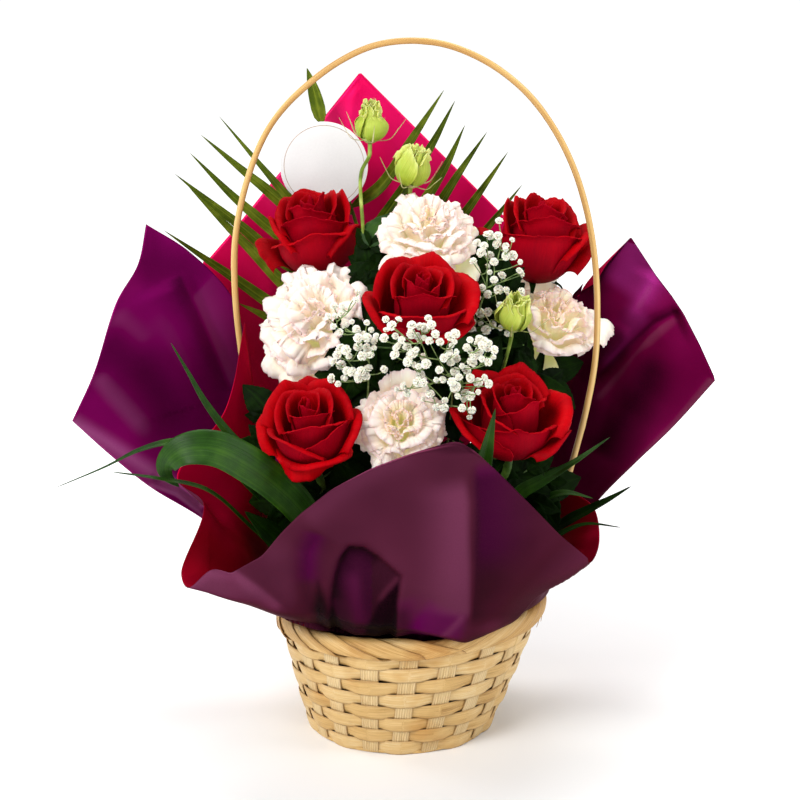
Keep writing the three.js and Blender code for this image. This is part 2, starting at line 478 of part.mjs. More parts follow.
// ---------------------------------------------------------------- long leaves and filler leaves
const LEAVES = {
  leaf_arched: { slot: [-14, -48, 1.5], colour: "leaf", facing: [0.15, -0.8, 0.58], steps: 14,
    pts: [[-35.9, -66, 135], [-52.3, -84, 162], [-68.8, -98, 189], [-92, -112, 213], [-113.9, -121, 226.5], [-131.7, -124, 226], [-141.5, -121, 217.5], [-142.6, -113, 207], [-136.5, -106, 198]],
    size: [[2.4, 2.4], [2.4, 2.4], [8, 1.4], [15, 1.2], [17, 1.2], [17, 1.1], [15, 1.1], [10, 1], [5, 1]] },
  leaf_upright_left: { slot: [-38, -20, 1.5], colour: "leaf", facing: [0.3, -0.9, 0.2], steps: 10,
    pts: [[-48.5, -40, 128.3], [-66.1, -56, 161.1], [-88, -72, 200.6], [-106.9, -82, 224.9], [-121.4, -88, 247.7], [-131.2, -90, 267.2], [-140.9, -92, 285.9]],
    size: [[2.4, 2.4], [2.4, 2.4], [4, 1.4], [6, 1.2], [6, 1.2], [5, 1], [3, 0.9]] },
  leaf_long_left: { slot: [-42, -6, 1.5], colour: "leaf", facing: [0.1, -0.7, 0.7], steps: 12,
    pts: [[-56.3, -24, 125], [-72.5, -36, 149.2], [-96.2, -52, 181.1], [-119.6, -66, 210], [-141.3, -80, 219.9], [-162.9, -90, 217.2], [-183.5, -98, 208.5], [-213.9, -104, 196.7]],
    size: [[2.4, 2.4], [2.4, 2.4], [4, 1.4], [5, 1.2], [6, 1.2], [5, 1], [3, 0.9]] },
  leaf_low_left: { slot: [-40, -34, 1.5], colour: "leaf", facing: [0, -0.5, 0.85], steps: 10,
    pts: [[-54.6, -46, 116], [-72.5, -62, 134.4], [-95, -82, 164], [-120, -106, 196], [-146, -120, 207], [-175, -122, 212]],
    size: [[2.4, 2.4], [2.4, 2.4], [3.4, 1.2], [4, 1], [4, 1], [2.4, 0.9]] },
  leaf_front: { slot: [26, -46, 1.5], colour: "leaf", facing: [0.25, -0.95, 0.1], steps: 9,
    pts: [[38.4, -70, 145.3], [43.5, -92, 175.8], [49.2, -110, 207.1], [53, -117, 227.9], [57.6, -120, 251.2]],
    size: [[2.4, 2.4], [2.4, 2.4], [7, 1.4], [13, 1.2], [8, 1]] },
  leaf_right_1: { slot: [50, -18, 1.5], colour: "leaf", facing: [0, -0.8, 0.6], steps: 10,
    pts: [[61.4, -34, 128], [69.8, -50, 157], [77.1, -63, 180], [92.4, -72, 193], [110.8, -78, 206.6], [132.3, -80, 223.1]],
    size: [[2.4, 2.4], [2.4, 2.4], [4, 1.4], [9, 1.2], [8, 1.1], [3, 0.9]] },
  leaf_right_2: { slot: [58, -8, 1.5], colour: "leaf", facing: [0, -0.6, 0.8], steps: 10,
    pts: [[70.2, -22, 127], [80, -34, 152], [92.7, -46, 170.7], [107.5, -54, 178.8], [125.1, -58, 176.4]],
    size: [[2.4, 2.4], [2.4, 2.4], [4, 1.4], [7, 1.2], [5, 1]] },
  leaf_right_3: { slot: [62, 4, 1.5], colour: "leaf_dark", facing: [0, -0.7, 0.7], steps: 10,
    pts: [[78, -8, 118], [94.6, -20, 136.4], [110.8, -34, 152.8], [124.9, -46, 165.2], [136, -54, 174.5], [149.6, -58, 184.5]],
    size: [[2.4, 2.4], [2.4, 2.4], [4, 1.4], [7, 1.2], [7, 1.2], [3, 0.9]] },
  leaf_right_4: { slot: [60, -24, 1.5], colour: "leaf_dark", facing: [0, -0.5, 0.85], steps: 10,
    pts: [[74, -36, 117], [88, -46, 133], [102.8, -56, 150], [120.2, -62, 160], [141.8, -70, 160.5]],
    size: [[2.4, 2.4], [2.4, 2.4], [4, 1.4], [6, 1.2], [4, 1]] },
  leaf_filler_left: { slot: [-24, -46, 1.5], colour: "leaf_dark", facing: [0.3, -0.8, 0.5], steps: 8,
    pts: [[-43, -60, 114], [-58.5, -74, 131], [-73.5, -87, 152], [-86, -95, 168], [-97, -99, 180]],
    size: [[2.4, 2.4], [2.4, 2.4], [8, 1.4], [16, 1.2], [10, 1]] },
  leaf_filler_centre: { slot: [-6, -14, 1.5], colour: "leaf_dark", facing: [0, -0.9, 0.4], steps: 8,
    pts: [[-6, -18, 140], [-9, -28, 188], [-13, -42, 233], [-17, -58, 262]],
    size: [[2.4, 2.4], [2.4, 2.4], [6, 1.4], [14, 1.2], [10, 1]] },
  leaf_filler_right: { slot: [48, -39, 1.7], colour: "leaf_dark", facing: [-0.3, -0.7, 0.6], steps: 8,
    pts: [[62, -50, 113], [76, -62, 124], [88, -72, 137], [98, -78, 148]],
    size: [[2.4, 2.4], [2.4, 2.4], [7, 1.4], [12, 1.2], [8, 1]] },
};
for (const [name, L] of Object.entries(LEAVES)) {
  const root = rooted(name, ...L.slot, L.pts[0], 13);
  add(name, strip([...root, ...L.pts], L.size, L.facing, L.steps), L.colour);
}

// ---------------------------------------------------------------- gypsophila sprays, each one branching plant
const GYPS = {
  gypsophila_1: { slot: [-8, -30, 0.9], way: [[-17, -46, 180], [-21, -56, 222], [-20, -72, 258]], knot: [-20, -74, 262],
    puffs: [[-20, -82, 279, 3], [-33, -86, 267, 3], [-10, -86, 268, 2.6], [-27, -76, 290, 2.6], [-37, -80, 280, 2.6], [-24, -92, 268, 3]] },
  gypsophila_2: { slot: [24, -26, 0.9], way: [[26, -36, 160], [32, -46, 220], [33, -78, 257]], knot: [32, -84, 262],
    puffs: [[18, -106, 290, 3], [30, -104, 292, 3], [24, -106, 272, 3], [14, -106, 264, 2.6], [34, -108, 262, 3], [44, -98, 275, 3], [52, -90, 286, 2.6], [8, -104, 282, 2.6]] },
  gypsophila_3: { slot: [28, 4, 0.9], way: [[36, -4, 200], [46, -20, 270], [54, -30, 304]], knot: [56, -31, 310],
    puffs: [[56, -30, 344, 3], [68, -28, 330, 3], [47, -36, 328, 2.6], [44, -40, 312, 2.6], [78, -24, 318, 3], [64, -22, 352, 2.6]] },
};
for (const [name, G] of Object.entries(GYPS)) {
  const root = rooted(name, ...G.slot, G.way[0], 30);
  let s = solid(strip([...root, ...G.way, G.knot], [[1.7, 1.7], [1.7, 1.7], [1.4, 1.4]], [0, -1, 0.1], 10, 4, false));
  for (const [x, y, z, r] of G.puffs) {
    s = s.add(solid(strip([G.knot, [(x + G.knot[0]) / 2, (y + G.knot[1]) / 2 + 2, (z + G.knot[2]) / 2], [x, y, z]], [[1.1, 1.1], [0.9, 0.9]], [0.1, 1, 0.3], 3, 3, false)));
    const ball = new THREE.IcosahedronGeometry(r, 0);
    ball.translate(x, y, z);
    s = s.add(solid(ball));
  }
  add(name, geometryOf(s), "gyps");
}

// ---------------------------------------------------------------- card and its pick
{
  const card = add("card", new THREE.CylinderGeometry(CARD_R, CARD_R, CARD_T, 40), "card");
  card.quaternion.setFromUnitVectors(new THREE.Vector3(0, 1, 0), V([0.06, -1, 0.12]).normalize());
  card.position.set(-52.8, 75, 377.8);
  const root = rooted("card_pick", -32, 32, 1.1, [-40, 52, 190], 40);
  add("card_pick", tube([...root, [-40, 52, 190], [-47, 66, 254], [-50, 75, 304], [-52.4, 76.6, 345], [-52.6, 77.4, 372]], 1.1, 6, 14), "pick");
}

// ---------------------------------------------------------------- the foam, with a close hole for every stem
{
  let foam = foamBody;
  for (const { low, dir, r, depth } of Object.values(slotOf)) {
    const a = low.clone().addScaledVector(dir, -2.5), b = low.clone().addScaledVector(dir, depth + 9);
    foam = foam.subtract(solid(tube([a.toArray(), b.toArray()], r * 1.16 + 0.75, 6, 1)));
  }
  add("foam_block", geometryOf(foam), "foam");
}

export default group;
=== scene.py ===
import math

import bpy
import numpy as np
from mathutils import Matrix, Vector


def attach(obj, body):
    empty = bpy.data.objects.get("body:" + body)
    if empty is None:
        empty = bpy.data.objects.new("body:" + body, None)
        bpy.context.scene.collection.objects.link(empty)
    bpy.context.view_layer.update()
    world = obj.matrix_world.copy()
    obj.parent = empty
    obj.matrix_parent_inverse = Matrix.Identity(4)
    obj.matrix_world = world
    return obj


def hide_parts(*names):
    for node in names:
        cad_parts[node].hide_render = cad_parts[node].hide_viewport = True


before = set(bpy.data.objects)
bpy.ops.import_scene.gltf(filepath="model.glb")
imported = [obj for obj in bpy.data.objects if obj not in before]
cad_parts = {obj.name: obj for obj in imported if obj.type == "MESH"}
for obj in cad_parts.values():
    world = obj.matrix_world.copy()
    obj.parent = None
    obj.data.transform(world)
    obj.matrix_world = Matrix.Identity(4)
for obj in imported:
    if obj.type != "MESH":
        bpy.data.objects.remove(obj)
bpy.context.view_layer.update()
scene = bpy.context.scene
PI = math.pi


# ---------------------------------------------------------------- numeric helpers
def unit(a):
    a = np.asarray(a, float)
    n = np.linalg.norm(a, axis=-1, keepdims=True)
    return a / np.maximum(n, 1e-12)


def smooth(a, b, x):
    t = np.clip((np.asarray(x, float) - a) / (b - a), 0, 1)
    return t * t * (3 - 2 * t)


def crom(points, ts):
    """Centripetal curve through points (k, ..., 3), read at ts from 0 to 1."""
    P = np.asarray(points, float)
    n = len(P)
    out = []
    for t in ts:
        p = (n - 1) * min(max(t, 0.0), 1.0)
        i = min(int(p), n - 2)
        w = p - i
        p1, p2 = P[i], P[i + 1]
        p0 = P[i - 1] if i > 0 else 2 * P[0] - P[1]
        p3 = P[i + 2] if i + 2 < n else 2 * P[n - 1] - P[n - 2]
        d0, d1, d2 = (
            np.sqrt(np.linalg.norm(b - a, axis=-1, keepdims=True))
            for a, b in ((p0, p1), (p1, p2), (p2, p3))
        )
        d1 = np.where(d1 < 1e-4, 1.0, d1)
        d0 = np.where(d0 < 1e-4, d1, d0)
        d2 = np.where(d2 < 1e-4, d1, d2)
        m1 = ((p1 - p0) / d0 - (p2 - p0) / (d0 + d1) + (p2 - p1) / d1) * d1
        m2 = ((p2 - p1) / d1 - (p3 - p1) / (d1 + d2) + (p3 - p2) / d2) * d1
        out.append(
            p1 + m1 * w
            + (-3 * p1 + 3 * p2 - 2 * m1 - m2) * w * w
            + (2 * p1 - 2 * p2 + m1 + m2) * w**3
        )
    return np.array(out)


def lerp_table(table, ts):
    """Values of a table of rows, spread evenly over 0..1, read at ts."""
    T = np.asarray(table, float)
    x = np.clip(np.asarray(ts, float), 0, 1) * (len(T) - 1)
    i = np.minimum(x.astype(int), len(T) - 2)
    f = (x - i)[:, None] if T.ndim > 1 else x - i
    return T[i] * (1 - f) + T[i + 1] * f


_lattice = np.random.default_rng(11).random((32, 32, 32)) * 2 - 1


def noise3(p, scale=1.0, octaves=2, seed=0):
    """Smooth value noise from -1 to 1 at points p (..., 3)."""
    p = np.asarray(p, float) * scale + seed * 7.31
    total, amp, norm = 0.0, 1.0, 0.0
    for _ in range(octaves):
        i = np.floor(p).astype(int)
        f = p - i
        f = f * f * (3 - 2 * f)
        v = 0.0
        for dx in (0, 1):
            for dy in (0, 1):
                for dz in (0, 1):
                    w = (
                        (f[..., 0] if dx else 1 - f[..., 0])
                        * (f[..., 1] if dy else 1 - f[..., 1])
                        * (f[..., 2] if dz else 1 - f[..., 2])
                    )
                    v = v + w * _lattice[(i[..., 0] + dx) % 32, (i[..., 1] + dy) % 32, (i[..., 2] + dz) % 32]
        total = total + amp * v
        norm += amp
        amp *= 0.5
        p = p * 2.03 + 3.7
    return total / norm


def wave1(x, seed, octaves=3):
    """Smooth one-dimensional noise from about -1 to 1."""
    x = np.asarray(x, float)
    return noise3(np.stack([x, x * 0 + seed * 1.37, x * 0 + 0.5], -1), 1.0, octaves, seed)


# the photograph's camera, also used to place creases and small flowers where they are seen
CAM = np.array([0.0, -1150.0, 500.0])
PITCH = math.radians(13.3)
FOCAL = 1754.0
FWD = np.array([0, math.cos(PITCH), -math.sin(PITCH)])
UPV = np.array([0, math.sin(PITCH), math.cos(PITCH)])


def pix(p):
    """Where a point (mm) falls in the 800 x 800 frame."""
    d = np.asarray(p, float) - CAM
    w = d @ FWD
    return np.stack([400 + FOCAL * d[..., 0] / w, 400 - FOCAL * (d @ UPV) / w], -1)


def unpix(u, v, y):
    """The point (mm) at depth y that falls at that pixel."""
    ray = FWD + np.array([1, 0, 0]) * (u - 400) / FOCAL - UPV * (v - 400) / FOCAL
    return CAM + ray * (y - CAM[1]) / ray[1]


# ---------------------------------------------------------------- mesh helpers
class Soup:
    """One piece's vertices, faces and per-vertex values, gathered before its mesh is made."""

    def __init__(self):
        self.v, self.f, self.m, self.at, self.n = [], [], [], {}, 0

    def add(self, verts, faces, mat=0, **values):
        verts = np.asarray(verts, float).reshape(-1, 3)
        self.v.append(verts)
        k = 0
        for part in faces:
            part = np.asarray(part, int)
            if len(part):
                self.f.append(part + self.n)
                self.m.append(np.asarray(mat[k] if isinstance(mat, (list, tuple)) else mat) + np.zeros(len(part), int))
            k += 1
        for key in set(self.at) | set(values):
            have = self.at.setdefault(key, [np.zeros(self.n)] if self.n else [])
            have.append(np.asarray(values.get(key, 0.0), float).reshape(-1) + np.zeros(len(verts)))
        self.n += len(verts)

    def make(self, name, materials, nodes=(), flat=False):
        verts = np.concatenate(self.v) * 0.001
        faces = []
        for part in self.f:
            faces += part.tolist()
        me = bpy.data.meshes.new(name)
        me.from_pydata(verts.tolist(), [], faces)
        mats = np.concatenate(self.m)
        for m in materials:
            me.materials.append(m)
        me.polygons.foreach_set("material_index", mats.astype(np.int32))
        me.polygons.foreach_set("use_smooth", np.full(len(me.polygons), not flat))
        for key, parts in self.at.items():
            a = me.attributes.new(key, "FLOAT", "POINT")
            a.data.foreach_set("value", np.concatenate(parts).astype(np.float32))
        me.update()
        ob = bpy.data.objects.new(name, me)
        scene.collection.objects.link(ob)
        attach(ob, "root")
        if nodes:
            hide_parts(*nodes)
        return ob


def slab(G, t):
    """A closed skin of thickness t about a grid (n, m, 3): vertices, then faces of side A, side B and rim."""
    n, m = G.shape[:2]
    N = unit(np.cross(np.gradient(G, axis=0), np.gradient(G, axis=1)))
    t = np.asarray(t, float)
    t = t[..., None] if t.ndim == 2 else t
    A, B = G + N * t / 2, G - N * t / 2
    i = np.arange(n * m).reshape(n, m)
    a = np.stack([i[:-1, :-1], i[1:, :-1], i[1:, 1:], i[:-1, 1:]], -1).reshape(-1, 4)
    b = a[:, ::-1] + n * m
    k = n * m

    def wall(x, y):
        return np.stack([x, x + k, y + k, y], -1)

    rim = np.concatenate([
        wall(i[:-1, 0], i[1:, 0]), wall(i[1:, -1], i[:-1, -1]),
        wall(i[0, 1:], i[0, :-1]), wall(i[-1, :-1], i[-1, 1:]),
    ])
    return np.concatenate([A.reshape(-1, 3), B.reshape(-1, 3)]), (a, b, rim)


def rings_skin(R, cap=True):
    """A closed skin over rings (k, s, 3)."""
    k, s = R.shape[:2]
    i = np.arange(k * s).reshape(k, s)
    j = np.roll(i, -1, axis=1)
    q = np.stack([i[:-1], j[:-1], j[1:], i[1:]], -1).reshape(-1, 4)
    v = R.reshape(-1, 3)
    if not cap:
        return v, (q,)
    v = np.concatenate([v, R[0].mean(0)[None], R[-1].mean(0)[None]])
    c0, c1 = k * s, k * s + 1
    t0 = np.stack([np.full(s, c0), j[0], i[0]], -1)
    t1 = np.stack([np.full(s, c1), i[-1], j[-1]], -1)
    return v, (q, t0, t1)


def frames(points, ts, facing=None):
    """Curve points with side and up vectors; facing is the normal a flat strip keeps."""
    C = crom(points, ts)
    T = unit(np.gradient(C, axis=0))
    if facing is not None:
        F = np.broadcast_to(np.asarray(facing, float), C.shape)
        S = unit(np.cross(T, F))
        return C, T, S, unit(np.cross(S, T))
    S = np.zeros_like(C)
    s = np.cross(T[0], [0.13, -0.94, 0.31])
    for k in range(len(C)):
        s = s - T[k] * (s @ T[k])
        s = s / np.linalg.norm(s)
        S[k] = s
    return C, T, S, unit(np.cross(S, T))


def tube(soup, points, radius, sides=8, steps=40, mat=0, wobble=0.0, seed=0, **values):
    """A round stem; radius is one number or a table along it."""
    ts = np.linspace(0, 1, steps + 1)
    C, T, S, U = frames(points, ts)
    r = np.full(steps + 1, float(radius)) if np.isscalar(radius) else lerp_table(radius, ts)
    a = np.linspace(0, 2 * PI, sides, endpoint=False)
    rr = r[:, None] * (1 + wobble * noise3(np.stack([np.cos(a)[None] + 0 * r[:, None], np.sin(a)[None] + 0 * r[:, None], ts[:, None] * steps / 3 + 0 * a[None]], -1), 1.3, 1, seed))
    R = C[:, None] + S[:, None] * (rr * np.cos(a))[..., None] + U[:, None] * (rr * np.sin(a))[..., None]
    v, f = rings_skin(R)
    along = np.concatenate([np.repeat(ts, sides), [0, 1]])
    soup.add(v, f, mat, along=along, **values)
    return C, T


# ---------------------------------------------------------------- materials
def lin(r, g, b):
    return tuple((c / 12.92 if c <= 0.04045 else ((c + 0.055) / 1.055) ** 2.4) for c in (r / 255, g / 255, b / 255)) + (1.0,)


class Mat:
    def __init__(self, name, **sockets):
        self.m = bpy.data.materials.new(name)
        self.m.use_nodes = True
        self.t = self.m.node_tree
        self.b = self.t.nodes["Principled BSDF"]
        for k, v in sockets.items():
            self.b.inputs[k.replace("_", " ")].default_value = v

    def new(self, kind, **props):
        n = self.t.nodes.new(kind)
        for k, v in props.items():
            setattr(n, k, v)
        return n

    def link(self, a, b):
        self.m.node_tree.links.new(a, b)

    def put(self, socket, value):
        if isinstance(value, bpy.types.NodeSocket):
            self.t.links.new(value, socket)
        else:
            socket.default_value = value

    def coord(self, scale=(1, 1, 1), rot=(0, 0, 0), kind="Object"):
        c = self.new("ShaderNodeTexCoord").outputs[kind]
        m = self.new("ShaderNodeMapping")
        self.put(m.inputs["Vector"], c)
        m.inputs["Scale"].default_value = scale
        m.inputs["Rotation"].default_value = rot
        return m.outputs["Vector"]

    def attr(self, name):
        n = self.new("ShaderNodeAttribute", attribute_name=name)
        return n.outputs["Fac"]

    def vec(self, x, y, z):
        n = self.new("ShaderNodeCombineXYZ")
        for s, v in zip(n.inputs, (x, y, z)):
            self.put(s, v)
        return n.outputs[0]

    def noise(self, scale, vector=None, detail=3.0, rough=0.5, dist=0.0):
        n = self.new("ShaderNodeTexNoise")
        self.put(n.inputs["Vector"], vector if vector is not None else self.coord())
        n.inputs["Scale"].default_value = scale
        n.inputs["Detail"].default_value = detail
        n.inputs["Roughness"].default_value = rough
        n.inputs["Distortion"].default_value = dist
        return n.outputs["Fac"]

    def voronoi(self, scale, vector=None, feature="F1"):
        n = self.new("ShaderNodeTexVoronoi", feature=feature)
        self.put(n.inputs["Vector"], vector if vector is not None else self.coord())
        n.inputs["Scale"].default_value = scale
        return n.outputs["Distance"]

    def math(self, op, a, b=0.0, c=0.0):
        n = self.new("ShaderNodeMath", operation=op)
        self.put(n.inputs[0], a)
        self.put(n.inputs[1], b)
        self.put(n.inputs[2], c)
        return n.outputs[0]

    def span(self, x, a, b, c=0.0, d=1.0):
        n = self.new("ShaderNodeMapRange")
        for s, v in zip(n.inputs, (x, a, b, c, d)):
            self.put(s, v)
        return n.outputs[0]

    def ramp(self, fac, *stops):
        n = self.new("ShaderNodeValToRGB")
        self.put(n.inputs[0], fac)
        r = n.color_ramp
        while len(r.elements) < len(stops):
            r.elements.new(0.5)
        for e, (p, c) in zip(r.elements, stops):
            e.position = p
            e.color = c if len(c) == 4 else lin(*c)
        return n.outputs["Color"]

    def mix(self, fac, a, b, kind="MIX"):
        n = self.new("ShaderNodeMix", data_type="RGBA", blend_type=kind)
        self.put(n.inputs[0], fac)
        self.put(n.inputs[6], a)
        self.put(n.inputs[7], b)
        return n.outputs[2]

    def bump(self, height, strength=0.5, distance=0.001, normal=None):
        n = self.new("ShaderNodeBump")
        self.put(n.inputs["Height"], height)
        n.inputs["Strength"].default_value = strength
        n.inputs["Distance"].default_value = distance
        if normal is not None:
            self.put(n.inputs["Normal"], normal)
        self.t.links.new(n.outputs[0], self.b.inputs["Normal"])
        return n.outputs[0]

    def base(self, colour):
        self.put(self.b.inputs["Base Color"], colour)

    def rough(self, value):
        self.put(self.b.inputs["Roughness"], value)


# ---------------------------------------------------------------- basket
BASE_R, RIM_R, WALL_H, RIM_LOW, RIM_TOP = 65.0, 89.0, 76.6, 77.0, 88.0
STAKES = 20
FIRST = math.radians(-90.6)


def outer_r(z):
    return BASE_R + (RIM_R - BASE_R) * (z / WALL_H) + 1.2 * np.sin(PI * np.clip(z, 0, WALL_H) / WALL_H)


def lean(P):
    """The hand-made basket leans to the right and its right side is taller."""
    P = np.asarray(P, float)
    x, y, z = P[..., 0], P[..., 1], P[..., 2]
    return np.stack([x + 8.5 * z / RIM_TOP, y, z * (1 + 0.07 * x / RIM_R - 0.02 * y / RIM_R)], -1)


def bamboo_material(name, pale, mid, dark, axis, ridge, rough=0.5):
    """Split bamboo. Grain runs along the strip: 'along' and 'across' are millimetres on it."""
    m = Mat(name, Roughness=rough, Specular_IOR_Level=0.42)
    along, across, tone = m.attr("along"), m.attr("across"), m.attr("tone")
    grain = m.noise(1.0, m.vec(m.math("MULTIPLY", along, 0.04), m.math("MULTIPLY", across, 2.0), m.math("MULTIPLY", tone, 31.0)), 5, 0.62)
    broad = m.noise(1.0, m.vec(m.math("MULTIPLY", along, 0.035), m.math("MULTIPLY", across, 0.22), m.math("MULTIPLY", tone, 17.0)), 3, 0.5)
    blotch = m.noise(38, detail=2)
    v = m.math("ADD", m.math("MULTIPLY", grain, 0.60), m.math("ADD", m.math("MULTIPLY", broad, 0.28), m.math("MULTIPLY", tone, 0.20)))
    col = m.ramp(v, (0.32, dark), (0.45, mid), (0.58, pale), (0.74, (232, 208, 160)))
    stain = m.ramp(blotch, (0.55, (255, 255, 255)), (0.72, (236, 214, 176)))
    col = m.mix(0.8, col, stain, "MULTIPLY")
    # darker fibres, and each strip darker towards its edges
    fibre = m.math("GREATER_THAN", m.noise(1.0, m.vec(m.math("MULTIPLY", along, 0.12), m.math("MULTIPLY", across, 5.0), m.math("MULTIPLY", tone, 9.0)), 2, 0.5), 0.66)
    col = m.mix(m.math("MULTIPLY", fibre, 0.28), col, lin(150, 104, 56), "MIX")
    edge = m.attr("edge")
    col = m.mix(m.math("MULTIPLY", edge, 0.42), col, lin(128, 84, 42), "MIX")
    # painted shade in the grooves between a stake's ribs
    col = m.mix(m.math("MULTIPLY", m.attr("rib"), 0.55), col, lin(176, 138, 88), "MIX")
    m.base(col)
    m.rough(m.span(grain, 0.3, 0.7, rough - 0.1, rough + 0.16))
    h = m.math("ADD", grain, m.math("MULTIPLY", fibre, -0.4))
    m.bump(h, ridge, 0.0006)
    return m.m


bamboo_weaver = bamboo_material("bamboo_weaver", (222, 186, 124), (206, 166, 100), (162, 118, 58), "h", 0.5)
bamboo_stake = bamboo_material("bamboo_stake", (226, 200, 150), (212, 182, 128), (174, 138, 84), "v", 0.35)
bamboo_band = bamboo_material("bamboo_band", (214, 174, 110), (192, 148, 82), (146, 102, 46), "h", 0.55)


def ribbon(soup, C, S, N, width, thick, across=9, bow=0.0, ridges=0.0, nridge=5, mat=0, tone=0.0, fray=0.0, seed=0):
    """A closed strip on centres C with side S and outward normal N; width and thick are per station."""
    k = len(C)
    width = np.zeros(k) + width
    thick = np.zeros(k) + thick
    q = np.linspace(-1, 1, across)
    x = q[None] * width[:, None] / 2
    if fray:
        x = x * (1 + fray * wave1(np.arange(k) * 0.23, seed, 2)[:, None])
    crown = (1 - q**2)[None] * bow * width[:, None] + ridges * np.cos(q * PI * nridge)[None]
    taper = np.sqrt(np.clip(1 - np.abs(q) ** 6, 0, 1))[None] * 0.75 + 0.25
    top = C[:, None] + S[:, None] * x[..., None] + N[:, None] * (crown + thick[:, None] * taper / 2)[..., None]
    bot = C[:, None] + S[:, None] * x[..., None] + N[:, None] * (crown - thick[:, None] * taper / 2)[..., None]
    R = np.concatenate([top, bot[:, ::-1]], 1)
    v, f = rings_skin(R)
    L = np.concatenate([[0], np.cumsum(np.linalg.norm(np.diff(C, axis=0), axis=1))])
    al = np.concatenate([np.repeat(L, 2 * across), [0, L[-1]]])
    ac = np.concatenate([np.concatenate([x, x[:, ::-1]], 1).ravel(), [0, 0]])
    e = np.abs(q) ** 8
    ed = np.concatenate([np.tile(np.concatenate([e, e[::-1]]), k), [1, 1]])
    # rib marks the grooves between ribs, which the finish darkens as painted shade
    rb = np.clip(-np.cos(q * PI * nridge), 0, 1) ** 3 if ridges else 0 * q
    rib = np.concatenate([np.tile(np.concatenate([rb, rb[::-1]]), k), [0, 0]])
    soup.add(v, f, mat, along=al, across=ac, edge=ed, tone=tone, rib=rib)


rng = np.random.default_rng(5)
weave = Soup()
ROWS = 8
PITCH_Z = WALL_H / ROWS
for row in range(ROWS):
    steps = STAKES * 12
    a = np.linspace(0, 2 * PI * (1 + 1.2 / STAKES), steps + 15)
    start = rng.uniform(0, 2 * PI)
    a = a + start
    phase = (a - FIRST) * STAKES / 2 + PI * (row % 2)
    over = np.cos(phase)  # +1 in front of a stake, -1 behind it
    flat = np.sign(over) * np.abs(over) ** 0.72
    z0 = PITCH_Z * (row + 0.5) + 0.3
    zc = z0 + 0.5 * wave1(a * 2.1, row, 2) + 0.25 * np.sin(a * 3 + row)
    lap = np.linspace(0, 1, len(a))
    r = outer_r(zc) - 2.25 + 1.45 * flat + 0.3 * wave1(a * 4, row + 20, 2) - 0.35 * smooth(0.94, 1, lap) + 0.2 * smooth(0.06, 0, lap)
    C = np.stack([r * np.cos(a), r * np.sin(a), zc], -1)
    out = np.stack([np.cos(a), np.sin(a), 0 * a], -1)
    T = unit(np.gradient(C, axis=0))
    tilt = math.atan((RIM_R - BASE_R) / WALL_H)
    up = np.stack([np.cos(a) * math.sin(tilt), np.sin(a) * math.sin(tilt), 0 * a + math.cos(tilt)], -1)
    N = unit(np.cross(T, up))
    N = N * np.sign((N * out).sum(-1, keepdims=True))
    up = unit(np.cross(N, T))
    up = up * np.sign(up[:, 2:3])
    # the strip springs open over a stake, is squeezed where it dives behind the next
    w = PITCH_Z * (1.03 + 0.15 * smooth(-0.55, 0.95, over)) + 0.2 * wave1(a * 3.3, row + 40, 2)
    tone = rng.uniform(0.2, 0.8) + 0.25 * np.repeat(wave1(np.floor((a - FIRST) * STAKES / (4 * PI) + 0.5 * (row % 2)) * 1.7, row + 60, 1), 18)
    before = weave.n
    ribbon(weave, lean(C), unit(up), N, w, 0.85, across=9, bow=0.030, tone=0.0, fray=0.03, seed=row)
    weave.at["tone"][-1] = np.concatenate([tone, [0.5, 0.5]])
for k in range(STAKES):
    a = FIRST + 2 * PI * k / STAKES + rng.uniform(-0.012, 0.012)
    zz = np.linspace(0.9, RIM_LOW + 4, 34)
    ph = (zz / PITCH_Z - 0.5) * PI + PI * k
    r = outer_r(np.minimum(zz, WALL_H)) - 2.25 - 0.42 * np.cos(ph)
    skew = rng.uniform(-0.012, 0.012)
    aa = a + skew * zz / WALL_H
    C = np.stack([r * np.cos(aa), r * np.sin(aa), zz], -1)
    side = np.stack([-np.sin(aa), np.cos(aa), 0 * aa], -1)
    out = np.stack([np.cos(aa), np.sin(aa), 0 * aa - 0.3], -1)
    w = 10.6 + 1.5 * zz / WALL_H + rng.uniform(-0.6, 0.6)
    ribbon(weave, lean(C), side, unit(out), w, 1.0, across=49, bow=0.006, ridges=0.20, nridge=7, mat=1, tone=rng.uniform(0.3, 0.8))
# the lowest cord of split bamboo that closes the wall on the table
a = np.linspace(0, 2 * PI, 200)
foot_r = BASE_R - 1.7 + 0.3 * wave1(a * 5, 77, 2)
C = np.stack([foot_r * np.cos(a), foot_r * np.sin(a), 1.35 + 0.25 * np.sin(a * 10)], -1)
ribbon(weave, lean(C), np.stack([0 * a, 0 * a, 0 * a + 1], -1), np.stack([np.cos(a), np.sin(a), 0 * a], -1), 2.5, 1.5, across=5, tone=0.3)
basket_weave = weave.make("basket_weave", [bamboo_weaver, bamboo_stake], ["basket_wall"])

# woven floor: two crossing layers of strips held inside the wall
floor_weave = Soup()
base_r = BASE_R - 5.2
for d in (0, 1):
    n = 9
    for k in range(n):
        x = (k - (n - 1) / 2) * 12.6
        half = math.sqrt(max(base_r**2 - (abs(x) + 5.4) ** 2, 9))
        s = np.linspace(-half, half, 40)
        wv = 0.75 * np.cos((s / 12.6 - (n - 1) / 2) * PI + PI * k + PI * d)
        P = np.stack([s, 0 * s + x, 1.7 + wv], -1) if d == 0 else np.stack([0 * s + x, s, 1.7 + wv], -1)
        S = np.broadcast_to([0, 1.0, 0] if d == 0 else [1.0, 0, 0], P.shape)
        ribbon(floor_weave, lean(P), S, np.broadcast_to([0, 0, 1.0], P.shape), 10.8, 0.8, across=7, mat=0, tone=rng.uniform(0.2, 0.8))
floor_weave.make("basket_floor", [bamboo_stake], ["basket_base"])

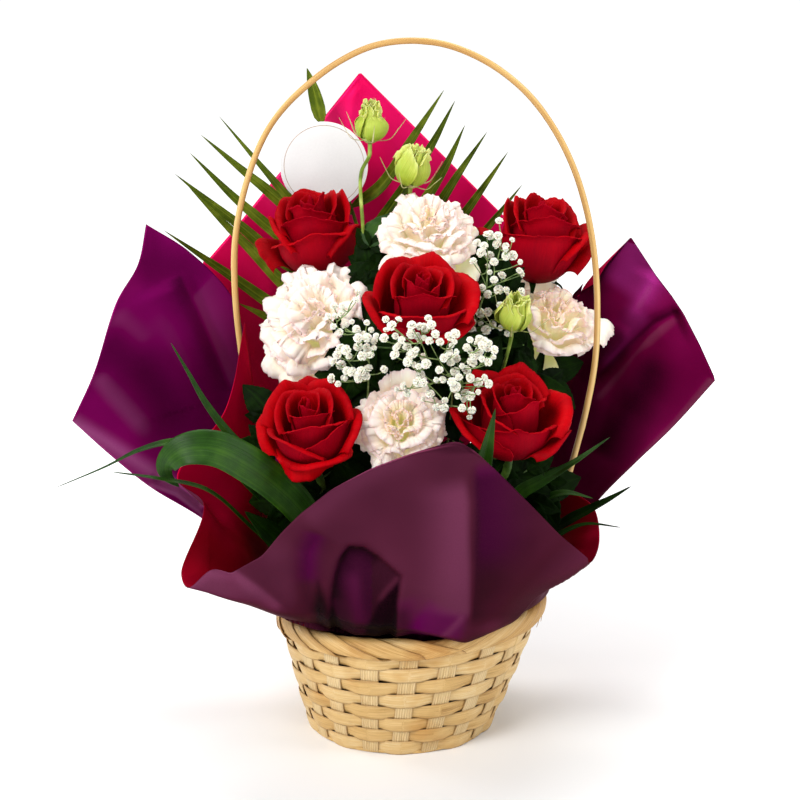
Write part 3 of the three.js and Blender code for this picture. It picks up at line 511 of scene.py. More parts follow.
# rim: stake ends laid over a core and down to the right, one over the next
rim = Soup()
LASH = 21
rc, zc = 87.0, (RIM_LOW + RIM_TOP) / 2
prof = np.array([  # round the core: in at the foot, out, over the top and down inside
    [-2.4, -5.2], [1.2, -5.6], [3.6, -4.4], [4.3, -1.5], [4.2, 1.8], [3.0, 4.2], [0.6, 5.2], [-2.0, 4.6], [-3.2, 2.0], [-3.3, -1.8]])
for k in range(LASH):
    a0 = FIRST + 2 * PI * k / LASH + rng.uniform(-0.035, 0.035)
    t = np.linspace(0, 1, 56)
    sec = crom(prof, t)
    hand = -1.0 if -PI / 2 < (a0 + PI) % (2 * PI) - PI < PI / 2 - 0.2 else 1.0
    slope = (84.0 + rng.uniform(-10, 10)) * hand
    # the strips run down to the right at a low angle, each over the next one's root
    arc = slope * (0.42 - t)
    width = (40.0 + rng.uniform(-3, 3)) * (0.12 + 0.88 * smooth(0.06, 0.34, t)) * (0.55 + 0.45 * smooth(1.0, 0.86, t))
    q = np.linspace(-1, 1, 15)
    x = q[None] * width[:, None] / 2 + arc[:, None] + hand * (1 - smooth(0.06, 0.34, t))[:, None] * 9.0
    ang = a0 + x / rc
    lift = 0.95 + 0.80 * q[None] + 0.05 * np.cos(q * PI * 5)[None] + 0.25 * wave1(t * 3, k + 5, 2)[:, None]
    nx, nz = np.gradient(sec[:, 1]), -np.gradient(sec[:, 0])
    nn = np.hypot(nx, nz)
    nx, nz = nx / nn, nz / nn
    th = 0.7
    skins = []
    for e in (lift + th / 2, lift - th / 2):
        rr = rc + sec[:, :1] + nx[:, None] * e
        zz = zc + sec[:, 1:] + nz[:, None] * e
        skins.append(np.stack([rr * np.cos(ang), rr * np.sin(ang), zz], -1))
    R = lean(np.concatenate([skins[0], skins[1][:, ::-1]], 1))
    v, f = rings_skin(R)
    # grain runs with the strip, which lies nearly level: its length is the arc, its breadth is down the rim
    lenw = x + 0 * t[:, None]
    br = (t[:, None] * 34 + x * 0.40 * hand)
    along = np.concatenate([np.concatenate([lenw, lenw[:, ::-1]], 1).ravel(), [0, 0]])
    ac = np.concatenate([np.concatenate([br, br[:, ::-1]], 1).ravel(), [0, 0]])
    e8 = np.abs(q) ** 14
    rim.add(v, f, 0, along=along, across=ac, edge=np.concatenate([np.tile(np.concatenate([e8, e8[::-1]]), 56), [1, 1]]), tone=rng.uniform(0.1, 0.9))
a = np.linspace(0, 2 * PI, 181)[:-1]
ring = []
for b in np.linspace(0, 2 * PI, 12, endpoint=False):
    rr, zz = rc + 2.6 * np.cos(b), zc + 4.3 * np.sin(b)
    ring.append(np.stack([rr * np.cos(a), rr * np.sin(a), 0 * a + zz], -1))
ring = np.array(ring).transpose(1, 0, 2)
ring = np.concatenate([ring, ring[:1]])
v, f = rings_skin(lean(ring), cap=False)
rim.add(v, f, 0, along=np.repeat(np.arange(181) * 3.0, 12), across=np.tile(np.arange(12) * 1.2, 181), edge=0.2, tone=0.4)
# loose splinters where strips were cut at the right end
for a0, z0, ln, dz in ((-0.30, 79.5, 9, -5.5), (-0.36, 80.5, 7, -3.2), (-0.22, 79.0, 6, -4.6), (2.6, 79.5, 7, -4), (1.4, 79, 6, -4), (-2.75, 80, 6, -2.5)):
    t = np.linspace(0, 1, 10)
    aa = a0 - t * ln / rc
    r = rc + 4.6 + 0.6 * t
    C = np.stack([r * np.cos(aa), r * np.sin(aa), z0 + dz * t], -1)
    out = np.stack([np.cos(aa), np.sin(aa), 0 * aa], -1)
    T = unit(np.gradient(C, axis=0))
    ribbon(rim, lean(C), unit(np.cross(T, out)), out, 1.7 * (1 - t) + 0.15, 0.35, across=5, tone=0.4)
basket_rim = rim.make("basket_rim_lashing", [bamboo_band], ["basket_rim"])

# ---------------------------------------------------------------- hoop handle
HOOP = [
    [-60.2, 0, 20], [-65.6, 0, 46], [-70.6, 0, 70], [-72.6, 0, 84], [-76.5, 0, 104], [-84.5, 0, 138], [-96.5, 0, 198],
    [-105.3, 0, 253], [-109.6, 0, 300], [-108.6, 0, 338], [-101, 0, 373], [-89.2, 0, 403], [-76.5, 0, 421.5],
    [-58, 0, 439], [-38.7, 0, 452.6], [-18, 0, 462], [3.2, 0, 465.4], [25.7, 0, 463.8], [45, 0, 457.6],
    [64.5, 0, 446.9], [84, 0, 430.5], [100.8, 0, 408.5], [113.5, 0, 384], [122.8, 0, 356], [128.6, 0, 326],
    [131.4, 0, 292], [130.9, 0, 256], [125.8, 0, 222], [117.5, 0, 186], [108, 0, 150], [98.6, 0, 118],
    [90.8, 0, 98], [89.0, 0, 88], [87.0, 0, 78], [80.6, 0, 58], [71.6, 0, 34], [66.0, 0, 20],
]
cane = Mat("cane_hoop", Roughness=0.5, Specular_IOR_Level=0.25)
along, across = cane.attr("along"), cane.attr("across")
streak = cane.noise(1.0, cane.vec(cane.math("MULTIPLY", along, 0.010), cane.math("MULTIPLY", across, 0.55), 0.3), 1, 0.5)
broad = cane.noise(1.0, cane.vec(cane.math("MULTIPLY", along, 0.012), cane.math("MULTIPLY", across, 0.1), 4.0), 3, 0.5)
col = cane.ramp(cane.math("ADD", cane.math("MULTIPLY", streak, 0.6), cane.math("MULTIPLY", broad, 0.4)),
                (0.32, (176, 132, 74)), (0.46, (204, 164, 100)), (0.60, (222, 188, 126)), (0.76, (232, 206, 150)))
col = cane.mix(cane.math("MULTIPLY", cane.attr("inner"), 0.60), col, lin(158, 110, 54))
cane.base(cane.mix(cane.math("MULTIPLY", cane.attr("edge"), 0.8), col, lin(120, 80, 38)))
cane.rough(cane.span(streak, 0.3, 0.7, 0.34, 0.5))
hoop = Soup()
ts = np.linspace(0, 1, 641)
C = crom(HOOP, ts)
T = unit(np.gradient(C, axis=0))
S = np.broadcast_to([0, 1.0, 0], C.shape)
U = unit(np.cross(S, T))  # towards the inside of the hoop
sec = []
for b in np.linspace(0, 2 * PI, 28, endpoint=False):
    x, y = math.cos(b), math.sin(b)
    x = math.copysign(abs(x) ** 0.62, x) * 0.5
    y = math.copysign(abs(y) ** 0.75, y) * (0.5 if y > 0 else 0.46)
    groove = 0.10 * math.exp(-((x - 0.06) / 0.05) ** 2) + 0.05 * math.exp(-((x + 0.26) / 0.04) ** 2)
    y -= math.copysign(groove, y)
    sec.append((x, y, min(1.0, groove * 9)))
sec = np.array(sec)
L = np.concatenate([[0], np.cumsum(np.linalg.norm(np.diff(C, axis=0), axis=1))])
wd = 5.2 * (1 + 0.035 * wave1(L * 0.02, 3, 3))
th = 4.3 * (1 + 0.05 * wave1(L * 0.03, 9, 3))
for joint in (188.0, 520.0, 830.0, 1090.0):  # faint nodes of the cane
    wd = wd + 0.35 * np.exp(-(((L - joint) / 3.0) ** 2))
    th = th + 0.30 * np.exp(-(((L - joint) / 2.2) ** 2))
wd = wd * (0.55 + 0.45 * smooth(0, 12, L)) * (0.55 + 0.45 * smooth(L[-1], L[-1] - 12, L))
R = C[:, None] + S[:, None] * (sec[None, :, 0] * wd[:, None])[..., None] + U[:, None] * (sec[None, :, 1] * th[:, None])[..., None]
v, f = rings_skin(R)
per = np.linspace(0, 13, 28)
hoop.add(v, f, 0, along=np.concatenate([np.repeat(L, 28), [0, L[-1]]]), across=np.concatenate([np.tile(per, 641), [0, 0]]),
         edge=np.concatenate([np.tile(sec[:, 2], 641), [1, 1]]), inner=np.concatenate([np.tile(smooth(-0.1, 0.25, sec[:, 1]), 641), [0, 0]]))
hoop.make("handle_hoop_cane", [cane.m], ["handle_hoop"])

# ---------------------------------------------------------------- liner and wet foam
def turned(profile, seg, ripple=None, closed=True):
    a = np.linspace(0, 2 * PI, seg, endpoint=False)
    P = np.asarray(profile, float)
    R = []
    for r, z in P:
        rr = r + (ripple(a, r, z) if ripple else 0)
        R.append(np.stack([rr * np.cos(a), rr * np.sin(a), 0 * a + z], -1))
    return lean(np.array(R))


lm = Mat("liner_film", Roughness=0.32, Base_Color=lin(38, 38, 36))
n1 = lm.noise(60, detail=4)
lm.base(lm.ramp(n1, (0.35, (26, 27, 25)), (0.65, (54, 54, 50))))
lm.bump(lm.noise(140, detail=4, dist=0.6), 0.5, 0.0012)
liner = Soup()
prof = [(0.5, 4.6), (30, 4.6), (54, 4.7), (57.5, 12), (61.2, 28), (64.6, 48), (67.8, 69), (69.4, 80), (70.0, 85.5),
        (69.0, 85.6), (67.0, 69), (60.4, 28), (53.4, 5.5), (30, 5.4), (0.5, 5.4)]
R = turned(prof, 144, lambda a, r, z: (0.55 * wave1(a * 7, 4, 3) + 0.35 * np.sin(a * 23 + z * 0.1)) * smooth(8, 60, z))
R[..., 2] += (1.4 * wave1(np.linspace(0, 2 * PI, 144) * 5, 8, 3))[None] * smooth(80, 86, R[..., 2])
v, f = rings_skin(R)
liner.add(v, f, 0)
liner.make("liner_film_cup", [lm.m], ["liner"])

fm = Mat("wet_foam", Roughness=0.92)
cell = fm.voronoi(900)
spots = fm.noise(240, detail=4)
wet = fm.noise(30, detail=2)
fc = fm.ramp(spots, (0.3, (24, 54, 30)), (0.55, (44, 86, 50)), (0.75, (66, 112, 66)))
fm.base(fm.mix(fm.span(wet, 0.4, 0.65), fc, lin(22, 44, 26)))
fm.rough(fm.span(wet, 0.4, 0.65, 0.95, 0.6))
fm.bump(fm.math("ADD", cell, spots), 0.7, 0.001)
foam = Soup()
prof = [(0.4, 6.2)] + [(r, 6.2) for r in (20, 40, 52.6)] + [(r, z) for r, z in ((54.5, 14), (57, 22), (59.6, 30), (62, 46), (64, 60), (65.2, 70), (65.2, 80), (64.9, 90), (64.2, 95), (62.4, 99))]
prof += [(r, 101.0) for r in np.linspace(60, 0.4, 30)]
R = turned(prof, 150)
Q = noise3(R, 0.25, 3, 2)
d = unit(R - np.array([4, 0, 60.0]))
R = R + d * (0.7 * Q * smooth(60, 80, R[..., 2]))[..., None]
R[..., 2] = np.minimum(R[..., 2], 101.8)
v, f = rings_skin(R)
foam.add(v, f, 0)
foam.make("wet_foam_block", [fm.m], ["foam_block"])


# ---------------------------------------------------------------- wrapping film
# Each film is given by columns of points that run from its tuck outwards to its free edge.
FRONT = [
    [[-66.6, -7.9, 70], [-69.6, -8.2, 94], [-91.9, -18, 211.9], [-98.1, -15, 248.7], [-102.3, -12, 283.9]],
    [[-65.4, -15.7, 70], [-68.3, -16.3, 94], [-91.6, -30, 177.3], [-103.6, -30, 204.7], [-115, -30, 228.5]],
    [[-62.9, -24.6, 70], [-65.7, -25.6, 94], [-101.7, -50, 148.9], [-123.9, -53, 170.3], [-144.6, -55, 189.2]],
    [[-59.4, -33.1, 70], [-62.1, -34.4, 94], [-98.7, -66, 137], [-115.1, -66, 156.1], [-127.3, -62, 174.4]],
    [[-54.8, -41.1, 70], [-57.3, -42.8, 94], [-103.4, -86, 127.5], [-122.1, -95, 137], [-137.9, -100, 139.2]],
    [[-50.2, -47.5, 70], [-52.5, -49.4, 94], [-98.6, -92, 117], [-116.5, -102, 126], [-132.8, -108, 132.7]],
    [[-44.9, -53.4, 70], [-47, -55.5, 94], [-91.8, -98, 116.5], [-104.8, -106, 125.5], [-117.1, -111, 145.6]],
    [[-39, -58.7, 70], [-40.9, -61, 94], [-83.4, -100, 117], [-93.7, -110, 128.5], [-103.6, -116, 145.3]],
    [[-31.5, -64, 70], [-33.1, -66.6, 94], [-68, -103, 124.5], [-77.2, -113, 142.3], [-87.5, -121, 154.8]],
    [[-22.2, -69, 70], [-23.4, -71.7, 94], [-50.2, -106, 129.3], [-61.8, -118, 152.5], [-71.5, -126, 173.8]],
    [[-12.3, -72.6, 70], [-13.1, -75.5, 94], [-32.6, -109, 128.4], [-44.9, -121, 163.2], [-57, -130, 192.9]],
    [[-2, -74.8, 70], [-2.4, -77.7, 94], [-17.5, -111, 129.1], [-25.7, -124, 172.5], [-33.1, -134, 210.4]],
    [[8.5, -75.5, 70], [8.5, -78.5, 94], [1.2, -112, 129.5], [1.2, -125, 176.1], [1.2, -136, 222.8]],
    [[20.3, -74.6, 70], [20.8, -77.5, 94], [18.7, -111, 131.1], [26.9, -124, 182.1], [34.1, -136, 233.9]],
    [[31.8, -71.8, 70], [32.8, -74.7, 94], [34.5, -108, 131.4], [46, -121, 174.8], [56, -132, 215.4]],
    [[42.8, -67.3, 70], [44.1, -69.9, 94], [50.4, -102, 129.2], [63.1, -114, 162.9], [74.4, -124, 193.6]],
    [[52.9, -61.1, 70], [54.6, -63.5, 94], [66.7, -92, 121], [79.6, -103, 152.7], [91, -111, 173.6]],
    [[62.8, -52.4, 70], [65, -54.5, 94], [83.9, -75, 116], [98.5, -83, 133.5], [111.8, -88, 150.4]],
    [[70.3, -43.3, 70], [72.8, -45, 94], [95, -58, 112.5], [110, -65, 124.5], [123.1, -68, 136.4]],
    [[76.4, -33.1, 70], [79.1, -34.4, 94], [99.6, -42, 113.5], [116.5, -44, 127], [131.4, -44, 143.5]],
    [[80.7, -22.1, 70], [83.6, -23, 94], [102.3, -25, 119], [116.8, -24, 144.1], [128.7, -22, 161]],
    [[83.3, -10.5, 70], [86.2, -10.9, 94], [100.6, -12, 129.7], [105.7, -11, 150.7], [109.5, -10, 169.4]],
]
LEFT = [
    [[-64.6, 7.7, 70], [-67.6, 8, 94], [-104, 8, 112.3], [-134.7, 4, 142.5], [-170.4, 0, 167.2], [-196.3, -3, 190.6], [-220.4, -6, 215.1]],
    [[-62.8, 17.8, 70], [-65.7, 18.5, 94], [-107.9, 18, 134.5], [-134.3, 14, 171.8], [-161.8, 10, 203.3], [-186.1, 6, 230.2], [-205.7, 2, 247]],
    [[-59.2, 28.7, 70], [-61.9, 29.9, 94], [-109.6, 28, 160.6], [-129.8, 24, 201.2], [-151.2, 20, 234], [-172.4, 18, 265.7], [-191.5, 16, 291.6]],
    [[-53.1, 40, 70], [-55.7, 41.7, 94], [-106.5, 38, 183.2], [-121.9, 34, 227.2], [-137.4, 32, 262.9], [-157.1, 32, 292.2], [-178.2, 32, 315.6]],
    [[-44.4, 51.1, 70], [-46.5, 53.1, 94], [-97, 46, 202.8], [-105.9, 40, 254.3], [-115.3, 38, 291.8], [-143.8, 42, 322.3], [-173.8, 46, 341.1]],
]
RIGHT = [
    [[81.5, 9, 70], [84.4, 9.3, 94], [123.3, 12, 132.8], [135.1, 10, 152.9], [157.2, 6, 179], [184.1, 1, 208.4], [209.3, -6, 241.3]],
    [[79.2, 20.3, 70], [82, 21.1, 94], [118.5, 24, 150.8], [138.5, 22, 178.8], [160.5, 18, 209.8], [181.9, 12, 239.3], [204, 8, 264.3]],
    [[74.6, 32.2, 70], [77.3, 33.5, 94], [113.6, 36, 172.8], [133.7, 36, 208.9], [153.1, 32, 240.4], [172.4, 28, 267.2], [191.5, 24, 288.1]],
    [[67.2, 44.2, 70], [69.6, 46, 94], [112.7, 48, 195.1], [128, 48, 236.9], [142.3, 46, 267.2], [158.5, 42, 289], [175.9, 38, 306.4]],
    [[57.7, 54.6, 70], [59.7, 56.9, 94], [113.2, 58, 214.4], [124.3, 58, 257.7], [135.5, 56, 302.1], [147.2, 52, 317.4], [158.7, 48, 330.4]],
    [[51.7, 59.5, 70], [53.5, 61.9, 94], [97, 66, 200], [104, 70, 236], [110, 70, 262], [116, 68, 278], [122, 64, 290]],
]
BACK = [
    [[-41.4, 51.2, 70], [-43.5, 53.3, 94], [-88, 82, 165], [-115, 90, 215], [-146, 94, 262]],
    [[-40.3, 52.3, 70], [-42.3, 54.5, 94], [-80.2, 88, 177.4], [-108.6, 95, 246.6], [-139.9, 98, 310.4]],
    [[-28.3, 61.3, 70], [-29.9, 63.9, 94], [-62, 92, 191.4], [-81.1, 102, 278.4], [-98.8, 108, 363]],
    [[-14.8, 67.6, 70], [-15.8, 70.4, 94], [-43.7, 94, 205.9], [-54.1, 106, 314.3], [-62, 113, 405.2]],
    [[-0.2, 71, 70], [-0.6, 73.9, 94], [-21.9, 95, 213.2], [-25.2, 108, 328.5], [-28.4, 116, 439.4]],
    [[14.7, 71.2, 70], [15, 74.2, 94], [7.3, 95, 213.2], [18.1, 107, 306.8], [26.5, 114, 385.2]],
    [[29.4, 68.4, 70], [30.3, 71.2, 94], [32.8, 94, 205.9], [54.3, 104, 285.4], [72, 110, 340.5]],
    [[43.2, 62.5, 70], [44.6, 65.2, 94], [54.6, 90, 191.9], [83.3, 97, 253.6], [109.3, 100, 306.5]],
]


def film_grid(cols, ns, nt):
    """Points over a film (across, along, 3)."""
    K = np.asarray(cols, float)  # columns, points, 3
    A = crom(K.transpose(1, 0, 2), np.linspace(0, 1, nt))  # along, columns, 3
    G = crom(A.transpose(1, 0, 2), np.linspace(0, 1, ns))  # across, along, 3
    return G


def normals(G):
    return unit(np.cross(np.gradient(G, axis=0), np.gradient(G, axis=1)))


def seen_normals(G, turn=1.0):
    """Normals of a film, all to the side that mostly looks towards the front camera (turn 1) or away."""
    N = normals(G)
    s = (N * (CAM - G)).sum(-1).mean()
    return N * np.sign(s) * turn, int(np.sign(s))


def dist_line(P, line):
    """Distance from pixel points P (..., 2) to a line of pixels, the share along it, and which side of it."""
    line = np.asarray(line, float)
    best = np.full(P.shape[:-1], 1e9)
    where = np.zeros(P.shape[:-1])
    side = np.zeros(P.shape[:-1])
    seg = np.linalg.norm(np.diff(line, axis=0), axis=1)
    tot = seg.sum()
    run = 0.0
    for a, b, s in zip(line[:-1], line[1:], seg):
        d = (b - a) / s
        q = P - a
        t = np.clip(q @ d, 0, s)
        off = q - t[..., None] * d
        dd = np.linalg.norm(off, axis=-1)
        c = d[0] * q[..., 1] - d[1] * q[..., 0]
        near = dd < best
        best = np.where(near, dd, best)
        where = np.where(near, (run + t) / tot, where)
        side = np.where(near, np.sign(c), side)
        run += s
    return best, where, side


def crease(P, line, amount, width, left=None, ends=(0.12, 0.12), sharp=1.6):
    """A ridge (or dent) along a line of pixels; its two sides may fall off over different widths."""
    d, w, s = dist_line(P, line)
    left = width if left is None else left
    wd = np.where(s > 0, width, left)
    fade = smooth(0, max(ends[0], 1e-3), w) * smooth(1, 1 - max(ends[1], 1e-3), w)
    return amount * np.exp(-((d / wd) ** sharp)) * fade


def step(P, line, amount, soft, ends=(0.1, 0.1), reach=60.0):
    """The film on one side of the line stands proud of the other and sinks back within reach pixels."""
    d, w, s = dist_line(P, line)
    fade = smooth(0, max(ends[0], 1e-3), w) * smooth(1, 1 - max(ends[1], 1e-3), w)
    return amount * smooth(-soft, soft, d * s) * np.exp(-((np.maximum(d * s, 0) / reach) ** 2)) * fade * (d * s > -soft)


def tent(P, line, amount, left, right, round_, ends=(0.2, 0.2)):
    """A fold along a line of pixels drawn downwards, its flanks nearly straight and its crest rounded."""
    d, w, s = dist_line(P, line)
    wd = np.where(s > 0, left, right)
    q = (np.sqrt(d**2 + round_**2) - round_) / wd
    fade = smooth(0, max(ends[0], 1e-3), w) * (smooth(1, 1 - ends[1], w) if ends[1] else 1.0)
    return amount * np.exp(-q) * fade


def film_material(name, deep, mid, light, rough, metal, dark, painted_highlight, painted_lit_tint, spec=0.4, edge=(0.5, 0.2, 0.4)):
    """Satin two-colour wrapping film: faint pearl grain under a soft metallic gloss, with painted highlights, painted
    shade and a painted lit tint laid on where it folds.
    """
    m = Mat(name, Roughness=rough, Specular_IOR_Level=spec, Metallic=metal)
    m.b.inputs["Specular Tint"].default_value = (*edge, 1.0)
    pearl = m.noise(13, detail=2)
    fine = m.noise(1100, detail=2)
    shade = m.attr("shade")
    col = m.ramp(pearl, (0.30, deep), (0.50, mid), (0.72, light))
    # painted lit tint, then painted highlight and painted shade (the dark colour), laid over the pearl colour
    col = m.mix(m.span(m.attr("sat"), 0.0, 1.0, 0.0, 1.0), col, lin(*painted_lit_tint))
    col = m.mix(m.span(shade, 0.0, 1.0, 0.0, 1.0), col, lin(*painted_highlight))
    col = m.mix(m.span(shade, 0.0, -1.0, 0.0, 1.0), col, lin(*dark))
    m.base(m.mix(m.span(fine, 0.40, 0.75, 0.0, 0.12), col, lin(*light)))
    m.rough(m.span(fine, 0.3, 0.7, rough - 0.03, rough + 0.06))
    m.bump(m.math("ADD", m.math("MULTIPLY", fine, 0.12), m.math("MULTIPLY", m.noise(22, detail=1), 1.0)), 0.03, 0.0012)
    return m.m


# the second and third finishes are the plum film with painted backlight and in painted shade; the last is the fuchsia
# film in painted shade
plum = film_material("film_plum", (60, 19, 35), (70, 24, 42), (82, 32, 52), 0.40, 0.85, (12, 0, 6), (116, 56, 86), (88, 0, 70), 0.3, (0.34, 0.12, 0.20))
plum_painted_backlight = film_material("film_plum_painted_backlight", (96, 0, 66), (108, 2, 74), (122, 10, 86), 0.44, 0.75, (34, 0, 20), (156, 84, 132), (136, 6, 100), 0.3, (0.5, 0.12, 0.34))
plum_painted_shade = film_material("film_plum_painted_shade", (76, 0, 38), (86, 1, 46), (98, 6, 56), 0.50, 0.80, (20, 0, 8), (128, 78, 98), (168, 50, 142), 0.2, (0.3, 0.06, 0.16))
fuchsia = film_material("film_fuchsia", (200, 0, 72), (220, 0, 82), (230, 16, 100), 0.42, 0.40, (96, 0, 20), (248, 66, 140), (228, 0, 90), 0.3, (0.9, 0.3, 0.5))
fuchsia_painted_shade = film_material("film_fuchsia_painted_shade", (96, 0, 8), (124, 0, 18), (156, 0, 40), 0.44, 0.60, (36, 0, 2), (206, 14, 70), (156, 0, 40), 0.2, (0.7, 0.1, 0.2))


def ridge(P, line, left, right, sharp=2.0, ends=(0.2, 0.2)):
    """1 along a line of pixels drawn downwards, dying away over the given widths to its left and right."""
    d, w, s = dist_line(P, line)
    fade = smooth(0, max(ends[0], 1e-3), w) * smooth(1, 1 - max(ends[1], 1e-3), w)
    return np.exp(-((d / np.where(s > 0, left, right)) ** sharp)) * fade


def patch(P, poly, soft):
    """1 inside an outline of pixels, softened over the given width about its edge."""
    poly = [tuple(q) for q in poly]
    d, _, _ = dist_line(P, poly + poly[:1])
    x, y = P[..., 0], P[..., 1]
    inside = np.zeros(x.shape, bool)
    for (x0, y0), (x1, y1) in zip(poly, poly[1:] + poly[:1]):
        if y0 == y1:
            continue
        cross = (y0 > y) != (y1 > y)
        inside ^= cross & (x < (x1 - x0) * (y - y0) / (y1 - y0) + x0)
    return smooth(-soft, soft, np.where(inside, d, -d))


def square_off(G, outline, start=0.45, most=0.45):
    """Pulls a film's far edge out to a straight-sided outline of pixels, in the plane of the picture."""
    n, m = G.shape[:2]
    E, I = pix(G[:, -1]), pix(G[:, int(m * start)])
    k = np.zeros(n)
    for i in range(n):
        d = E[i] - I[i]
        for a, b in zip(outline[:-1], outline[1:]):
            a, b = np.array(a, float), np.array(b, float)
            A = np.array([[d[0], a[0] - b[0]], [d[1], a[1] - b[1]]])
            if abs(np.linalg.det(A)) < 1e-9:
                continue
            g, h = np.linalg.solve(A, a - I[i])
            if g > 0.5 and -1e-6 <= h <= 1 + 1e-6:
                k[i] = g - 1
    k = np.where(np.abs(k) < most, k, 0)
    k = np.convolve(np.pad(k, 2, "edge"), np.ones(5) / 5, "valid") if most < 0.4 else k
    D = E - I
    t = np.linspace(0, 1, m)[None]
    w = np.clip((t - start) / (1 - start), 0, 1) ** 1.6
    depth = (G - CAM) @ FWD
    right = np.cross(FWD, UPV)
    move = D * k[:, None]
    return G + (right * (move[:, None, 0] * w * depth / FOCAL)[..., None] - UPV * (move[:, None, 1] * w * depth / FOCAL)[..., None])


def lay_film(name, G, towards, away, node, shade=0.0, sat=0.0, back_painted_shading=0.0):
    """Builds a film from its middle surface; towards is the finish of the side the camera mostly sees."""
    _, s = seen_normals(G)
    v, f = slab(G, 0.32)
    soup = Soup()
    # painted shading goes on both sides, the painted lit tint only on the side the camera mostly sees
    both = [shade, back_painted_shading] if s > 0 else [back_painted_shading, shade]
    both = np.concatenate([(q + np.zeros(G.shape[:2])).ravel() for q in both])
    painted_lit_masks = [sat, 0.0] if s > 0 else [0.0, sat]
    soup.add(v, f, [0 if s > 0 else 1, 1 if s > 0 else 0, 0], shade=both, sat=np.concatenate([(q + np.zeros(G.shape[:2])).ravel() for q in painted_lit_masks]))
    ob = soup.make(name, [towards, away], [node])
    return ob


def undulate(G, amount, wave, seed, edge_more=1.0):
    n, m = G.shape[:2]
    t = np.linspace(0, 1, m)[None]
    q = noise3(G, 1.0 / wave, 2, seed) * amount * (0.25 + 0.75 * t**1.2) * (1 + (edge_more - 1) * t**6)
    return G + normals(G) * q[..., None]


def pleats(G, seed, amount, count, reach=0.30):
    """Gathers that run out from the tuck and die away."""
    n, m = G.shape[:2]
    s = np.linspace(0, 1, n)[:, None]
    t = np.linspace(0, 1, m)[None]
    ph = s * count + 1.2 * wave1(s * count * 0.45, seed, 2)
    amp = amount * smooth(0.02, 0.10, t) * np.exp(-((t / reach) ** 2))
    return G + normals(G) * (amp * (np.abs(np.sin(ph * PI)) ** 0.8 - 0.6))[..., None]


def over_rim(columns):
    """The collar comes up just inside the rim and turns out over its top."""
    out = []
    for tuck, _, *rest in columns:
        a = math.atan2(tuck[1], tuck[0] - 8.5)
        top = RIM_TOP * (1 + 0.07 * math.cos(a) - 0.02 * math.sin(a))
        out.append([[8.5 + r * math.cos(a), r * math.sin(a), z] for r, z in ((77.5, 70), (80.6, top - 2), (85.8, top + 3.0), (94.5, top + 5.8))] + rest)
    return out


# front collar
G = film_grid(over_rim(FRONT), 330, 120)
G = undulate(G, 1.0, 70, 3, 1.3)
N, _ = seen_normals(G)
P = pix(G)
mid = ((G[..., 1] < -70) & (np.abs(P[..., 0] - 400) < 190)).astype(float)
d = 0
rim_fade = smooth(0.10, 0.26, np.linspace(0, 1, G.shape[1]))[None]
# one long soft corner runs down right of the centre: a pale panel before it, shadow behind it
d = d + tent(P, [(468, 430), (470, 470), (469, 530), (467, 580), (462, 640)], 8.0, 74, 50, 5.0, ends=(0.12, 0.05))
# the film is pinched above the rim: a shallow pocket under a curved edge, then folds running down
pocket = patch(P, [(331, 640), (331, 592), (338, 562), (349, 546), (364, 547), (382, 559), (402, 576), (398, 600), (392, 640)], 4)
d = d - 3.2 * pocket
d = d + tent(P, [(364, 552), (360, 590), (354, 640)], 2.4, 12, 13, 3.0, ends=(0.3, 0.0))
d = d + tent(P, [(402, 570), (388, 600), (376, 640)], 2.0, 14, 9, 3.0, ends=(0.3, 0.0))
d = d + tent(P, [(322, 524), (309, 556), (308, 596), (322, 640)], -4.0, 26, 14, 4.0, ends=(0.3, 0.0))
d = d + tent(P, [(428, 586), (420, 612), (408, 650)], -2.0, 14, 12, 4.0, ends=(0.4, 0.0))
d = d * rim_fade
G = G + N * (d * mid)[..., None]
# painted shading on the collar: painted highlights on the pale band and lower edges, painted shade on the dark panel,
# in the pocket and in the folds
shade = 0.06 + 0.0 * P[..., 0]
shade = shade + 0.50 * ridge(P, [(457, 470), (462, 500), (462, 560), (461, 614)], 32, 6.0, 2.2, (0.16, 0.08))
shade = shade - 0.66 * ridge(P, [(475, 462), (476, 500), (474, 560), (468, 622)], 4, 68, 1.3, (0.12, 0.1))
shade = shade + 0.46 * ridge(P, [(592, 556), (545, 590), (500, 612), (470, 630)], 26, 24, 1.6, (0.02, 0.2))
pit = patch(P, [(330, 655), (330, 598), (334, 574), (341, 552), (349, 545), (363, 546), (377, 555), (401, 575), (397, 604), (396, 655)], 2.5)
shade = shade * (1 - pit) - 0.66 * pit
shade = shade + 0.40 * pit * ridge(P, [(352, 566), (356, 594), (362, 630)], 11, 7, 2, (0.25, 0.2))
shade = shade - 0.40 * pit * patch(P, [(402, 576), (380, 600), (366, 630), (366, 655), (404, 655)], 3.5)
shade = shade + 0.50 * pit * ridge(P, [(400, 576), (386, 590), (376, 604)], 3, 3, 2, (0.1, 0.3))
shade = shade - 0.26 * ridge(P, [(331, 606), (336, 566), (346, 548), (364, 547), (384, 561)], 10, 5, 2, (0.1, 0.1))
shade = shade - 0.40 * ridge(P, [(319, 528), (308, 552), (304, 585), (310, 620)], 9, 16, 1.6, (0.10, 0.05))
shade = shade - 0.78 * patch(P, [(318, 584), (327, 600), (335, 622), (346, 655), (318, 655), (313, 612)], 6.0)
shade = shade - 0.50 * ridge(P, [(399, 598), (404, 618), (407, 645)], 12, 9, 2, (0.3, 0.0))
shade = shade + 0.52 * ridge(P, [(186, 588), (209, 571), (236, 573), (262, 592), (284, 611)], 7, 3, 2, (0.02, 0.1))
shade = shade + 0.34 * patch(P, [(184, 590), (209, 571), (238, 575), (284, 612), (240, 612)], 6)
shade = shade + 0.16 * ridge(P, [(262, 540), (285, 575), (300, 612)], 20, 14, 2, (0.3, 0.2))
shade = shade + 0.46 * ridge(P, [(461, 606), (448, 622), (436, 634)], 2.5, 4, 2, (0.2, 0.2))
